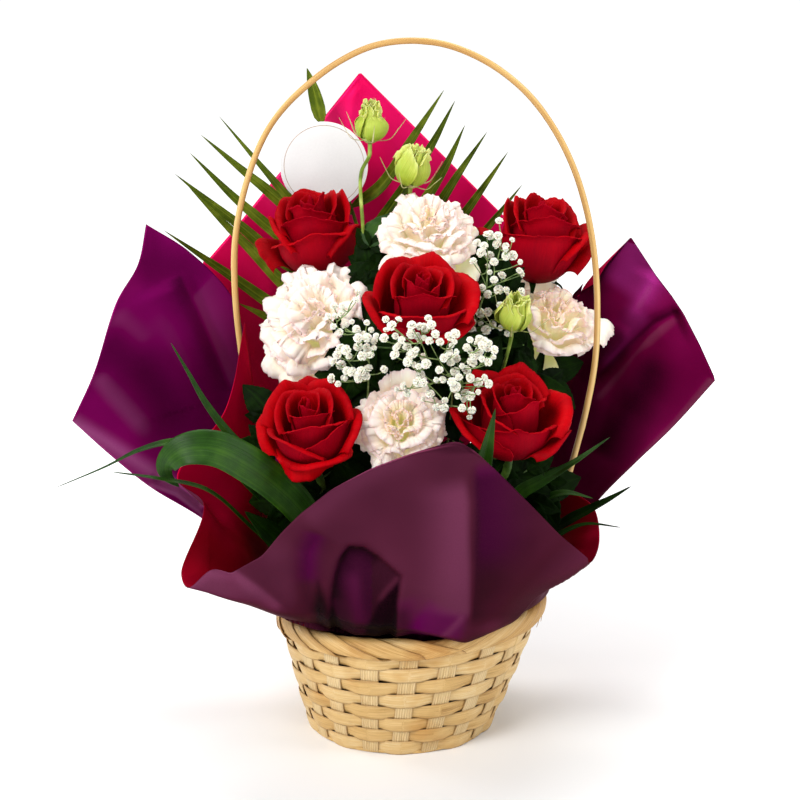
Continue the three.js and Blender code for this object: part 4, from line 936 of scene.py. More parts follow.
shade = shade + 0.16 * ridge(P, [(300, 520), (350, 482), (420, 455)], 12, 10, 2, (0.1, 0.2))
# painted lit tint where the collar looks saturated purple
sat = 0.74 * patch(P, [(429, 597), (440, 602), (461, 607), (452, 655), (398, 655), (408, 626)], 6.0)
sat = sat + 0.55 * ridge(P, [(478, 458), (481, 520), (478, 575)], 5, 34, 2, (0.15, 0.3)) + 0.75 * ridge(P, [(317, 530), (310, 556), (308, 590)], 10, 8, 1.8, (0.10, 0.2)) + 0.40 * pit * (P[..., 0] < 372) + 0.35 * ridge(P, [(405, 590), (412, 612), (412, 640)], 14, 14, 2, (0.2, 0.1))
# painted shade where the collar turns over the rim
rim_painted_shade = smooth(0.26, 0.12, np.linspace(0, 1, G.shape[1]))[None] * smooth(225, 290, P[..., 0]) * smooth(600, 520, P[..., 0])
shade = np.clip(shade - 0.9 * rim_painted_shade, -1, 1)
G = square_off(G, [(231, 573), (262, 556), (282, 532), (300, 514), (332, 489), (372, 468), (412, 453), (440, 445), (457, 441), (474, 450), (500, 474), (530, 504), (560, 535), (590, 560)], 0.6, 0.10)
wrap_front = lay_film("wrap_front_film", G, plum, fuchsia_painted_shade, "wrap_front", shade, sat)

# left sheet
G = film_grid(LEFT, 130, 150)
G = undulate(G, 0.9, 110, 8, 1.1)
N, _ = seen_normals(G)
P = pix(G)
d = step(P, [(178, 272), (196, 312), (214, 352), (232, 396), (238, 430)], 3.5, 14, ends=(0.10, 0.3), reach=60)
d = d + crease(P, [(92, 372), (122, 410), (156, 452)], 1.6, 20, 26, ends=(0.25, 0.35), sharp=2)
d = d + crease(P, [(140, 352), (172, 402), (196, 440)], -1.6, 24, 26, ends=(0.3, 0.3), sharp=2)
d = d + crease(P, [(150, 474), (180, 488), (206, 507)], -2.0, 4, 6, ends=(0.2, 0.1), sharp=1.6)
G = G + N * d[..., None]
G = pleats(G, 9, 0.8, 4, 0.25)
P = pix(G)
# painted shading on the left sheet: painted highlight bands, painted shade along its creases and top corner, and a
# painted lit tint
shade = -0.04 + 0.30 * ridge(P, [(92, 370), (112, 394), (134, 418), (156, 442)], 9, 13, 2, (0.15, 0.3)) + 0.20 * ridge(P, [(112, 310), (132, 330), (152, 350)], 13, 12, 2, (0.2, 0.3))
shade = shade - 0.34 * ridge(P, [(100, 340), (140, 368), (170, 402), (196, 440)], 20, 20, 2, (0.1, 0.3)) + 0.12 * ridge(P, [(150, 296), (176, 340), (200, 390)], 16, 12, 2, (0.3, 0.3))
shade = shade + 0.20 * ridge(P, [(181, 276), (200, 316), (216, 356), (234, 398)], 2.5, 30, 1.4, (0.08, 0.15)) - 0.46 * ridge(P, [(177, 272), (196, 312), (213, 352), (231, 396)], 15, 2.5, 1.6, (0.06, 0.1))
shade = shade + 0.62 * ridge(P, [(72, 421), (110, 444), (150, 470), (205, 507)], 9, 7, 1.6, (0.02, 0.02)) + 0.55 * ridge(P, [(146, 484), (176, 494), (204, 517)], 2.2, 2.2, 2, (0.1, 0.02)) - 0.4 * ridge(P, [(150, 489), (176, 500), (200, 516)], 3, 3, 2, (0.1, 0.05))
shade = shade - 0.30 * ridge(P, [(146, 226), (150, 246), (176, 262), (206, 286)], 30, 24, 2, (0.02, 0.1)) + 0.16 * ridge(P, [(148, 226), (148, 250), (144, 262)], 16, 4, 2, (0.02, 0.2))
sat = 0.45 * ridge(P, [(138, 280), (160, 320), (180, 360)], 26, 26, 2, (0.2, 0.3)) + 0.4 * ridge(P, [(80, 424), (120, 446), (160, 470)], 22, 4, 2, (0.1, 0.2))
wrap_left = lay_film("wrap_left_film", G, plum_painted_backlight, fuchsia, "wrap_left", shade, sat, -0.16 + 0.7 * shade)

# right sheet
G = film_grid(RIGHT, 130, 150)
G = undulate(G, 0.5, 110, 13, 1.1)
N, _ = seen_normals(G)
P = pix(G)
d = crease(P, [(683, 308), (654, 322), (627, 347), (601, 373), (580, 392)], -2.6, 5, 18, ends=(0.08, 0.3), sharp=1.6)
d = d + crease(P, [(655, 270), (640, 298), (624, 326)], 1.2, 16, 18, ends=(0.2, 0.3), sharp=2)
d = d + crease(P, [(640, 390), (612, 426), (594, 470)], -1.4, 22, 26, ends=(0.3, 0.3), sharp=2)
G = G + N * d[..., None]
G = pleats(G, 15, 0.8, 4, 0.25)
G = square_off(G, [(580, 292), (596, 283), (606, 265), (619, 250), (631, 237), (656, 275), (672, 296), (684, 314), (700, 345), (714, 376), (716, 386)], 0.5)
P = pix(G)
# painted shading on the right sheet: painted shade over it and along its crease and roll, painted highlights on the
# crease edge, lower rim and streak, and a painted lit tint on the streak
shade = -0.15 - 0.30 * ridge(P, [(596, 283), (600, 320), (596, 356)], 16, 14, 2, (0.1, 0.2)) - 0.30 * ridge(P, [(610, 340), (596, 364), (584, 384)], 14, 4, 2, (0.2, 0.1))
shade = shade - 0.50 * ridge(P, [(682, 308), (656, 319), (629, 344), (603, 370), (580, 391)], 2, 5, 1.6, (0.05, 0.2)) + 0.34 * ridge(P, [(676, 314), (650, 337), (622, 370), (588, 408)], 4, 10, 1.8, (0.02, 0.15))
shade = shade - 0.62 * ridge(P, [(662, 348), (640, 390), (616, 428), (596, 458)], 16, 20, 2, (0.2, 0.1))
shade = shade - 0.10 * ridge(P, [(694, 344), (676, 376), (650, 410)], 16, 14, 2, (0.2, 0.3)) + 0.42 * ridge(P, [(714, 378), (676, 424), (636, 464), (598, 502)], 6, 7, 1.6, (0.02, 0.05))
sat = 0.26 * ridge(P, [(657, 270), (646, 290), (634, 310), (624, 328)], 8, 11, 1.6, (0.05, 0.3)) + 0.32 * ridge(P, [(636, 244), (628, 270), (612, 292)], 20, 30, 2, (0.02, 0.3)) + 0.14 * ridge(P, [(650, 310), (620, 345), (600, 370)], 12, 6, 2, (0.2, 0.2))
shade = shade + 0.26 * ridge(P, [(656, 276), (644, 296), (632, 316)], 4, 7, 2, (0.35, 0.3))
wrap_right = lay_film("wrap_right_film", G, plum_painted_shade, fuchsia, "wrap_right", shade, sat, -0.16 + 0.6 * shade)

# back sheet, fuchsia to the front
G = film_grid(BACK, 170, 130)
G = undulate(G, 1.8, 85, 21, 1.1)
N, _ = seen_normals(G)
P = pix(G)
d = crease(P, [(358, 80), (352, 130), (340, 190)], 1.6, 10, 14, ends=(0.1, 0.3), sharp=2)
d = d + crease(P, [(392, 120), (400, 170), (410, 230)], -1.6, 10, 14, ends=(0.3, 0.3), sharp=2)
d = d + crease(P, [(240, 232), (262, 262), (280, 300)], 1.8, 9, 12, ends=(0.2, 0.3), sharp=2)
G = G + N * d[..., None]
G = pleats(G, 27, 1.0, 6, 0.25)
G = square_off(G, [(206, 262), (232, 232), (360, 72), (499, 211), (530, 242)], 0.5)
P = pix(G)
# painted shade lower down the back sheet, behind the blooms, with a painted highlight and painted shade along its folds
shade = -0.75 * smooth(215, 330, P[..., 1]) + 0.30 * ridge(P, [(262, 214), (300, 160), (350, 100)], 12, 22, 2, (0.3, 0.3)) - 0.20 * ridge(P, [(372, 110), (392, 150), (410, 200)], 16, 16, 2, (0.3, 0.3))
wrap_back = lay_film("wrap_back_film", G, fuchsia, plum, "wrap_back", shade)
BLOOMS = {
    "rose_1": ([-57.8,36,335.6], 36, [-0.15,-0.25,0.95]),
    "rose_2": ([12.6,-56,306], 34, [0.05,-0.44,0.9]),
    "rose_3": ([94.3,44,330.6], 37.5, [0.12,-0.2,0.97]),
    "rose_4": ([-56,-90,232.5], 33, [-0.08,-0.48,0.87]),
    "rose_5": ([70.5,-75,234.5], 35.3, [0.04,-0.38,0.92]),
    "lisianthus_1": ([-53.8,-18,287.7], 41.5, [-0.15,-0.8,0.55]),
    "lisianthus_2": ([18.4,0,344.5], 34.9, [0.08,-0.55,0.83]),
    "lisianthus_3": ([103.6,19,280], 33, [0.25,-0.6,0.74]),
    "lisianthus_4": ([1.3,-80,230.9], 32, [0.03,-0.8,0.6]),
    "bud_1": ([-19.4,32,411.9], 13.3, [0.05,-0.1,1]),
    "bud_2": ([9.3,22,383], 13.6, [0.15,-0.25,1]),
    "bud_3": ([73.8,-42,296.1], 12.8, [0.1,-0.35,0.95]),
}
STEMS = {  # slot in the foam (x, y), stem radius, then points on the way up
    "rose_1": [-18, 22, 2.9, [[-34, 34, 200]]],
    "rose_2": [12, -24, 2.9, [[14, -30, 200]]],
    "rose_3": [38, 28, 2.9, [[62, 50, 200], [84, 57, 268]]],
    "rose_4": [-24, -28, 2.9, [[-38, -38, 150]]],
    "rose_5": [38, -28, 2.9, [[50, -36, 150]]],
    "lisianthus_1": [-26, -2, 2.1, [[-38, 4, 180]]],
    "lisianthus_2": [13, 10, 2.1, [[14, 14, 220]]],
    "lisianthus_3": [44, 6, 2.1, [[62, 18, 180]]],
    "lisianthus_4": [4, -42, 2.1, [[2, -44, 140]]],
    "bud_1": [-4, 26, 1.5, [[-10, 22, 220], [-17.6, 20, 286], [-22.6, 13, 320], [-25, 9.5, 350], [-26, 22, 378]]],
    "bud_2": [0, 42, 1.5, [[-2, 42, 220], [-2, 43, 300], [0.7, 42, 345]]],
    "bud_3": [28, -8, 1.5, [[44, -14, 180], [58, -22, 226], [67, -34, 257]]],
}
RACHIS = [
    [-20, 60, 184.7],
    [-17.8, 72, 240.4],
    [-21.4, 84, 288.8],
    [-29.8, 90, 330.9],
    [-42.4, 92, 369.7],
    [-54.7, 92, 406.7],
]
LEAFLETS = [
    [[-54.7, 92, 405], [-60.1, 92, 427.5], [-64.7, 90, 444.1]],
    [[-34.5, 90.4, 344.5], [-47, 84, 338.5], [-60, 78.5, 339.5], [-71.5, 68.2, 349.5], [-93, 65.6, 375], [-124.6, 72, 412]],
    [[-34.2, 90.5, 343], [-65.2, 87, 340], [-99.3, 78, 366], [-137.1, 68, 399.7]],
    [[-26.5, 87.6, 314], [-63.9, 86, 315], [-108.5, 76, 349], [-144.8, 66, 387.5]],
    [[-22.4, 85, 294], [-71, 84, 303], [-115.7, 76, 339], [-155.3, 64, 373.3]],
    [[-20, 79.4, 270], [-64.2, 82, 279], [-109.2, 78, 323], [-146.8, 66, 364.8]],
    [[-18.4, 74, 250], [-71.2, 80, 267], [-118.6, 76, 299.5], [-164.5, 66, 334]],
    [[-18.2, 68.5, 224], [-57, 74, 246], [-88.7, 74, 268], [-114.3, 70, 281.9]],
    [[-34.8, 91, 347], [-14.1, 86, 362], [8.3, 78, 396], [30.2, 72, 430]],
    [[-27.5, 89, 320], [-3.5, 84, 352], [20.9, 78, 390.5], [37.8, 72, 422.6]],
    [[-23, 85.6, 298], [7.1, 84, 337], [31.4, 78, 376], [44.9, 72, 406.2]],
    [[-20.6, 81.6, 280], [10, 84, 321], [37, 78, 366], [60.1, 72, 401.4]],
    [[-18.6, 76.6, 258], [18.5, 82, 307], [50, 78, 351], [74.8, 72, 387.7]],
    [[-18, 71.5, 238], [22, 80, 286], [57.5, 80, 329], [85, 74, 364.6]],
]
LEAVES = {
    "leaf_arched": {"slot": [-14,-48,1.5], "facing": [0.15,-0.8,0.58],
        "pts": [[-35.9, -66, 135], [-52.3, -84, 162], [-68.8, -98, 189], [-92, -112, 213], [-113.9, -121, 226.5], [-131.7, -124, 226], [-141.5, -121, 217.5], [-142.6, -113, 207], [-136.5, -106, 198]],
        "size": [[2.4, 2.4], [2.4, 2.4], [8, 1.4], [15, 1.2], [17, 1.2], [17, 1.1], [15, 1.1], [10, 1], [5, 1]]},
    "leaf_upright_left": {"slot": [-38,-20,1.5], "facing": [0.3,-0.9,0.2],
        "pts": [[-48.5, -40, 128.3], [-66.1, -56, 161.1], [-88, -72, 200.6], [-106.9, -82, 224.9], [-121.4, -88, 247.7], [-131.2, -90, 267.2], [-140.9, -92, 285.9]],
        "size": [[2.4, 2.4], [2.4, 2.4], [4, 1.4], [6, 1.2], [6, 1.2], [5, 1], [3, 0.9]]},
    "leaf_long_left": {"slot": [-42,-6,1.5], "facing": [0.1,-0.7,0.7],
        "pts": [[-56.3, -24, 125], [-72.5, -36, 149.2], [-96.2, -52, 181.1], [-119.6, -66, 210], [-141.3, -80, 219.9], [-162.9, -90, 217.2], [-183.5, -98, 208.5], [-213.9, -104, 196.7]],
        "size": [[2.4, 2.4], [2.4, 2.4], [4, 1.4], [5, 1.2], [6, 1.2], [5, 1], [3, 0.9]]},
    "leaf_low_left": {"slot": [-40,-34,1.5], "facing": [0,-0.5,0.85],
        "pts": [[-54.6, -46, 116], [-72.5, -62, 134.4], [-95, -82, 164], [-120, -106, 196], [-146, -120, 207], [-175, -122, 212]],
        "size": [[2.4, 2.4], [2.4, 2.4], [3.4, 1.2], [4, 1], [4, 1], [2.4, 0.9]]},
    "leaf_front": {"slot": [26,-46,1.5], "facing": [0.25,-0.95,0.1],
        "pts": [[38.4, -70, 145.3], [43.5, -92, 175.8], [49.2, -110, 207.1], [53, -117, 227.9], [57.6, -120, 251.2]],
        "size": [[2.4, 2.4], [2.4, 2.4], [7, 1.4], [13, 1.2], [8, 1]]},
    "leaf_right_1": {"slot": [50,-18,1.5], "facing": [0,-0.8,0.6],
        "pts": [[61.4, -34, 128], [69.8, -50, 157], [77.1, -63, 180], [92.4, -72, 193], [110.8, -78, 206.6], [132.3, -80, 223.1]],
        "size": [[2.4, 2.4], [2.4, 2.4], [4, 1.4], [9, 1.2], [8, 1.1], [3, 0.9]]},
    "leaf_right_2": {"slot": [58,-8,1.5], "facing": [0,-0.6,0.8],
        "pts": [[70.2, -22, 127], [80, -34, 152], [92.7, -46, 170.7], [107.5, -54, 178.8], [125.1, -58, 176.4]],
        "size": [[2.4, 2.4], [2.4, 2.4], [4, 1.4], [7, 1.2], [5, 1]]},
    "leaf_right_3": {"slot": [62,4,1.5], "facing": [0,-0.7,0.7],
        "pts": [[78, -8, 118], [94.6, -20, 136.4], [110.8, -34, 152.8], [124.9, -46, 165.2], [136, -54, 174.5], [149.6, -58, 184.5]],
        "size": [[2.4, 2.4], [2.4, 2.4], [4, 1.4], [7, 1.2], [7, 1.2], [3, 0.9]]},
    "leaf_right_4": {"slot": [60,-24,1.5], "facing": [0,-0.5,0.85],
        "pts": [[74, -36, 117], [88, -46, 133], [102.8, -56, 150], [120.2, -62, 160], [141.8, -70, 160.5]],
        "size": [[2.4, 2.4], [2.4, 2.4], [4, 1.4], [6, 1.2], [4, 1]]},
    "leaf_filler_left": {"slot": [-24,-46,1.5], "facing": [0.3,-0.8,0.5],
        "pts": [[-43, -60, 114], [-58.5, -74, 131], [-73.5, -87, 152], [-86, -95, 168], [-97, -99, 180]],
        "size": [[2.4, 2.4], [2.4, 2.4], [8, 1.4], [16, 1.2], [10, 1]]},
    "leaf_filler_centre": {"slot": [-6,-14,1.5], "facing": [0,-0.9,0.4],
        "pts": [[-6, -18, 140], [-9, -28, 188], [-13, -42, 233], [-17, -58, 262]],
        "size": [[2.4, 2.4], [2.4, 2.4], [6, 1.4], [14, 1.2], [10, 1]]},
    "leaf_filler_right": {"slot": [48,-39,1.7], "facing": [-0.3,-0.7,0.6],
        "pts": [[62, -50, 113], [76, -62, 124], [88, -72, 137], [98, -78, 148]],
        "size": [[2.4, 2.4], [2.4, 2.4], [7, 1.4], [12, 1.2], [8, 1]]},
}
GYPS = {
    "gypsophila_1": {"slot": [-8,-30,0.9], "way": [[-17,-46,180],[-21,-56,222],[-20,-72,258]], "knot": [-20,-74,262],
        "puffs": [[-20, -82, 279, 3], [-33, -86, 267, 3], [-10, -86, 268, 2.6], [-27, -76, 290, 2.6], [-37, -80, 280, 2.6], [-24, -92, 268, 3]]},
    "gypsophila_2": {"slot": [24,-26,0.9], "way": [[26,-36,160],[32,-46,220],[33,-78,257]], "knot": [32,-84,262],
        "puffs": [[18, -106, 290, 3], [30, -104, 292, 3], [24, -106, 272, 3], [14, -106, 264, 2.6], [34, -108, 262, 3], [44, -98, 275, 3], [52, -90, 286, 2.6], [8, -104, 282, 2.6]]},
    "gypsophila_3": {"slot": [28,4,0.9], "way": [[36,-4,200],[46,-20,270],[54,-30,304]], "knot": [56,-31,310],
        "puffs": [[56, -30, 344, 3], [68, -28, 330, 3], [47, -36, 328, 2.6], [44, -40, 312, 2.6], [78, -24, 318, 3], [64, -22, 352, 2.6]]},
}

FOAM_TOP = 101.0


def rooted(x, y, nxt, depth):
    top = np.array([x, y, FOAM_TOP + 2.0])
    d = unit(np.asarray(nxt, float) - top)
    return [top - d * depth, top - d * depth / 2, top]


def frame_of(axis):
    z = unit(np.asarray(axis, float))
    x = unit(np.cross(z, [0.0, 0.35, 1.0]) if abs(z[2]) < 0.999 else np.array([1.0, 0, 0]))
    y = np.cross(z, x)
    return np.stack([x, y, z])  # rows


# ---------------------------------------------------------------- petals
def petal(soup, fr, centre, R, rng, *, path, az, half, spiral=0.0, curl=0.0, curl_len=0.3, tip=0.05, drop=0.3,
          roll_mid=0.5, ruffle=0.0, ruffle_k=5.0, frill=0.0, frill_k=16.0, serrate=0.0, size=(21, 17), thick=0.018,
          twist=0.0, cup=0.0, tone=0.5, base_w=0.55, side_roll=0.0, lean_out=0.0, mats=(0, 0, 0), notch=0.0, fringe=0.62):
    """One petal, as a thin closed skin. path is its middle line as (radius, height), in units of R."""
    nu, nv = size
    u = np.linspace(-1, 1, nu)
    t = np.linspace(0, 1, 40)
    base = crom(np.array([[r, 0, z] for r, z in path]), t)[:, [0, 2]]
    seg = np.concatenate([[0], np.cumsum(np.linalg.norm(np.diff(base, axis=0), axis=1))])
    L = seg[-1]
    ang = np.unwrap(np.arctan2(np.gradient(base[:, 1]), np.gradient(base[:, 0])))
    Lu = L * (1 - drop * np.abs(u) ** 2.4 + tip * np.exp(-((u / 0.22) ** 2)) - notch * np.exp(-((u / 0.10) ** 2)))
    if serrate:
        Lu = Lu * (1 + serrate * wave1(u * 14 + rng.uniform(0, 50), 3, 2) + 0.6 * serrate * wave1(u * 34 + rng.uniform(0, 50), 5, 1))
    v = np.linspace(0, 1, nv) ** 0.9
    s = v[None] * Lu[:, None]  # (nu, nv)
    a = np.interp(s, seg, ang)
    e = (Lu[:, None] - s) / L
    C = curl * (roll_mid + (1 - roll_mid) * np.minimum(1, (np.abs(u) / 0.55) ** 1.6))[:, None]
    C = C * (1 + 0.25 * wave1(u * 1.7 + rng.uniform(0, 40), 2, 2))[:, None]
    a = a - C * np.clip(1 - e / curl_len, 0, 1) ** 1.7
    ds = np.diff(s, axis=1, prepend=0)
    am = a.copy()
    am[:, 1:] = 0.5 * (a[:, 1:] + a[:, :-1])
    r = path[0][0] + np.cumsum(np.cos(am) * ds, axis=1)
    z = path[0][1] + np.cumsum(np.sin(am) * ds, axis=1)
    hw = half * (base_w + (1 - base_w) * smooth(0, 0.55, v))[None] * (1 - 0.10 * smooth(0.75, 1, v))[None]
    th = u[:, None] * hw
    r = r + spiral * u[:, None] * smooth(0.1, 0.6, v)[None]
    r = r + side_roll * (np.abs(u) ** 3)[:, None] * smooth(0.3, 1, v)[None] - cup * (u**2)[:, None] * smooth(0.1, 0.6, v)[None]
    th = az + th + twist * v[None]
    r = np.maximum(r, 0.012)
    G = np.stack([r * np.cos(th), r * np.sin(th), z], -1)
    if lean_out:  # the petal hinges outwards on its base
        ca, sa = math.cos(az), math.sin(az)
        radial = G[..., 0] * ca + G[..., 1] * sa
        tang = -G[..., 0] * sa + G[..., 1] * ca
        z0, r0 = path[0][1], path[0][0]
        cr, sr = math.cos(lean_out), math.sin(lean_out)
        rr = r0 + (radial - r0) * cr + (G[..., 2] - z0) * sr
        zz = z0 - (radial - r0) * sr + (G[..., 2] - z0) * cr
        G = np.stack([rr * ca - tang * sa, rr * sa + tang * ca, zz], -1)
    w = smooth(0.25, 1.0, v)[None]
    ph = rng.uniform(0, 6.28, 4)
    if ruffle:
        q = np.sin(ruffle_k * u + ph[0]) + 0.6 * np.sin(ruffle_k * 1.73 * u + ph[1])
        G = G + normals(G) * (ruffle * w**1.6 * q[:, None] * (0.55 + 0.45 * np.abs(u))[:, None])[..., None]
    if frill:
        q = np.sin(frill_k * u + ph[2] + 2.0 * np.sin(3.1 * u + ph[0])) + 0.5 * np.sin(frill_k * 1.6 * u + ph[3])
        q = q * (0.55 + 0.6 * np.abs(np.sin(2.3 * u + ph[1])))
        G = G + normals(G) * (frill * smooth(fringe, 1, v)[None] * q[:, None])[..., None]
    G = G + normals(G) * (0.012 * noise3(G, 3.1, 2, int(rng.integers(1, 90))) * w)[..., None]
    W = centre + (G * R) @ fr
    tt = thick * R * (1 - 0.55 * smooth(0.8, 1, v))[None] * (1 - 0.35 * smooth(0.8, 1, np.abs(u)))[:, None]
    vv, f = slab(W, tt + 0 * W[..., 0])
    uu = np.tile(np.repeat(u, nv), 2)
    v2 = np.tile(np.broadcast_to(v[None], (nu, nv)).ravel(), 2)
    inside = np.repeat([1.0, 0.0], nu * nv)
    soup.add(vv, f, list(mats), u=uu, v=v2, inside=inside, tone=tone, rim=np.tile((1 - np.clip(e, 0, 1)).ravel(), 2))


def mix_path(core, outer, o, rise=0.0):
    c, d = np.array(core), np.array(outer)
    p = c * (1 - o) + d * o
    p[-1, 1] += rise
    return [tuple(x) for x in p]


def petal_material(name, deep, mid, light, rim, sheen, rough=0.5, sss=0.0, veins=0.25, rim_amount=0.3, transl=None, bump=0.35, foot=None, back=None, glow=0.0):
    m = Mat(name, Roughness=rough, Specular_IOR_Level=0.32, Sheen_Weight=sheen, Sheen_Roughness=0.4,
            Subsurface_Weight=sss, Subsurface_Scale=0.004)
    if transl:
        m.b.inputs["Sheen Tint"].default_value = transl
        m.b.inputs["Subsurface Radius"].default_value = (1.0, 0.35, 0.25)
    u, v, tone, rimv = m.attr("u"), m.attr("v"), m.attr("tone"), m.attr("rim")
    vein = m.noise(1.0, m.vec(m.math("MULTIPLY", u, 26.0), m.math("MULTIPLY", v, 2.2), m.math("MULTIPLY", tone, 40.0)), 4, 0.6)
    blot = m.noise(210, detail=4, rough=0.6)
    mott = m.noise(62, detail=3)
    x = m.math("ADD", m.math("MULTIPLY", mott, 0.40), m.math("ADD", m.math("MULTIPLY", vein, veins), m.math("MULTIPLY", v, 0.26)))
    x = m.math("ADD", x, m.math("MULTIPLY", m.math("SUBTRACT", tone, 0.5), 0.24))
    col = m.ramp(x, (0.22, deep), (0.46, mid), (0.74, light))
    r = m.math("MULTIPLY", m.math("POWER", rimv, 14.0), rim_amount)
    col = m.mix(r, col, lin(*rim))
    if back:
        col = m.mix(m.math("MULTIPLY", m.attr("inside"), back[1]), col, lin(*back[0]))
    # petals take another colour towards their base: for the roses painted shade deep in the bloom, for the lisianthus
    # and buds their own green base
    if foot:
        col = m.mix(m.span(v, foot[1], foot[2], foot[3], 0.0), col, lin(*foot[0]))
    m.base(col)
    # painted glow: the petal colour given off as light, standing in for light through the petals
    if glow:
        m.link(col, m.b.inputs["Emission Color"])
        m.b.inputs["Emission Strength"].default_value = glow
    m.rough(m.span(blot, 0.3, 0.7, rough - 0.07, rough + 0.1))
    m.bump(m.math("ADD", m.math("MULTIPLY", vein, 0.8), m.math("MULTIPLY", blot, 0.5)), bump, 0.0007)
    return m.m


# rose petals: the foot colour is painted shade deep in the bloom, and the glow is a painted glow
rose_mat = petal_material("rose_petal", (86, 0, 5), (146, 0, 8), (200, 0, 8), (120, 0, 16), 0.0, 0.6, 0.03, 0.26, 0.45, lin(255, 60, 80), 0.22,
                          foot=((60, 0, 7), 0.25, 0.97, 0.80), back=((150, 0, 32), 0.50), glow=0.09)
rose_mat.node_tree.nodes["Principled BSDF"].inputs["Specular IOR Level"].default_value = 0.04
# lisianthus and bud petals: the glow is a painted glow; the foot colour is their own green base
lisi_mat = petal_material("lisianthus_petal", (240, 224, 188), (246, 232, 212), (250, 242, 230), (244, 196, 204), 0.05, 0.6, 0.30, 0.14, 0.55, lin(255, 250, 250), 0.22,
                          foot=((238, 238, 184), 0.15, 0.62, 0.85), glow=0.12)
lisi_green = petal_material("lisianthus_heart", (240, 226, 172), (247, 234, 194), (250, 240, 220), (248, 186, 196), 0.05, 0.6, 0.38, 0.14, 0.65, lin(255, 250, 240), 0.22,
                            foot=((228, 230, 146), 0.25, 0.78, 0.9), glow=0.10)
bud_mat = petal_material("bud_petal", (112, 132, 20), (160, 174, 44), (196, 204, 92), (222, 224, 150), 0.05, 0.5, 0.15, 0.45, 0.6, lin(250, 255, 210), 0.5, foot=((120, 156, 34), 0.2, 0.8, 0.6), glow=0.03)

green_mat = Mat("stem_green", Roughness=0.45, Specular_IOR_Level=0.4)
g1 = green_mat.noise(90, detail=4)
g2 = green_mat.noise(500, detail=3)
green_mat.base(green_mat.ramp(green_mat.math("ADD", green_mat.math("MULTIPLY", g1, 0.7), green_mat.math("MULTIPLY", g2, 0.3)),
               (0.34, (34, 62, 14)), (0.52, (66, 98, 30)), (0.70, (104, 132, 52))))
green_mat.rough(green_mat.span(g2, 0.3, 0.7, 0.38, 0.58))
green_mat.bump(g2, 0.35, 0.0006)
pale_stem = Mat("stem_pale_green", Roughness=0.5, Specular_IOR_Level=0.3)
p1 = pale_stem.noise(110, detail=4)
pale_stem.base(pale_stem.ramp(p1, (0.32, (84, 108, 26)), (0.52, (126, 148, 50)), (0.70, (168, 184, 92))))
pale_stem.rough(pale_stem.span(p1, 0.3, 0.7, 0.42, 0.58))
pale_stem.bump(p1, 0.3, 0.0005)


def leaf_material(name, deep, mid, light, vein_k, rough, coat, axis_vein=0.5, spec=0.4):
    m = Mat(name, Roughness=rough, Specular_IOR_Level=spec, Coat_Weight=coat, Coat_Roughness=0.2)
    u, v, tone = m.attr("u"), m.attr("v"), m.attr("tone")
    par = m.noise(1.0, m.vec(m.math("MULTIPLY", u, vein_k), m.math("MULTIPLY", v, 1.6), m.math("MULTIPLY", tone, 23.0)), 3, 0.55)
    mott = m.noise(70, detail=3)
    x = m.math("ADD", m.math("MULTIPLY", par, 0.36), m.math("MULTIPLY", mott, 0.56))
    x = m.math("ADD", x, m.math("MULTIPLY", m.math("SUBTRACT", tone, 0.5), 0.25))
    col = m.ramp(x, (0.28, deep), (0.46, mid), (0.66, light))
    midrib = m.math("POWER", m.math("SUBTRACT", 1.0, m.math("MINIMUM", m.math("ABSOLUTE", u), 1.0)), 16.0)
    col = m.mix(m.math("MULTIPLY", midrib, axis_vein), col, light if len(light) == 4 else lin(*light))
    tipd = m.math("POWER", v, 9.0)
    col = m.mix(m.math("MULTIPLY", tipd, 0.35), col, deep if len(deep) == 4 else lin(*deep))
    m.base(col)
    m.rough(m.span(mott, 0.3, 0.7, rough - 0.06, rough + 0.1))
    m.bump(par, 0.45, 0.0006)
    return m.m


leaf_mat = leaf_material("leaf_glossy", (14, 42, 0), (28, 64, 3), (54, 92, 12), 16.0, 0.42, 0.0, 0.25, 0.20)
# a darker copy of the glossy leaf finish: painted shade, for leaves set deep in the gaps between the blooms
leaf_painted_shade = leaf_material("leaf_glossy_painted_shade", (4, 16, 0), (11, 32, 0), (28, 56, 3), 9.0, 0.6, 0.0, 0.35, 0.05)
palm_mat = leaf_material("palm_leaflet", (40, 54, 0), (72, 90, 4), (122, 134, 34), 5.0, 0.50, 0.0, 0.5, 0.12)


# ---------------------------------------------------------------- roses
def way(deg):
    """Azimuth on a bloom's own axes for a direction as seen from the front: 0 right, 90 up, 180 left, 270 down."""
    return PI + math.radians(deg)


def cup_path(belly, top_r, top_z, foot=-0.80, low=0.62):
    return [(0.06, foot), (belly * low, foot + 0.13), (belly, foot + 0.50), (belly * 0.45 + top_r * 0.56, top_z * 0.42 - 0.02), (top_r, top_z)]


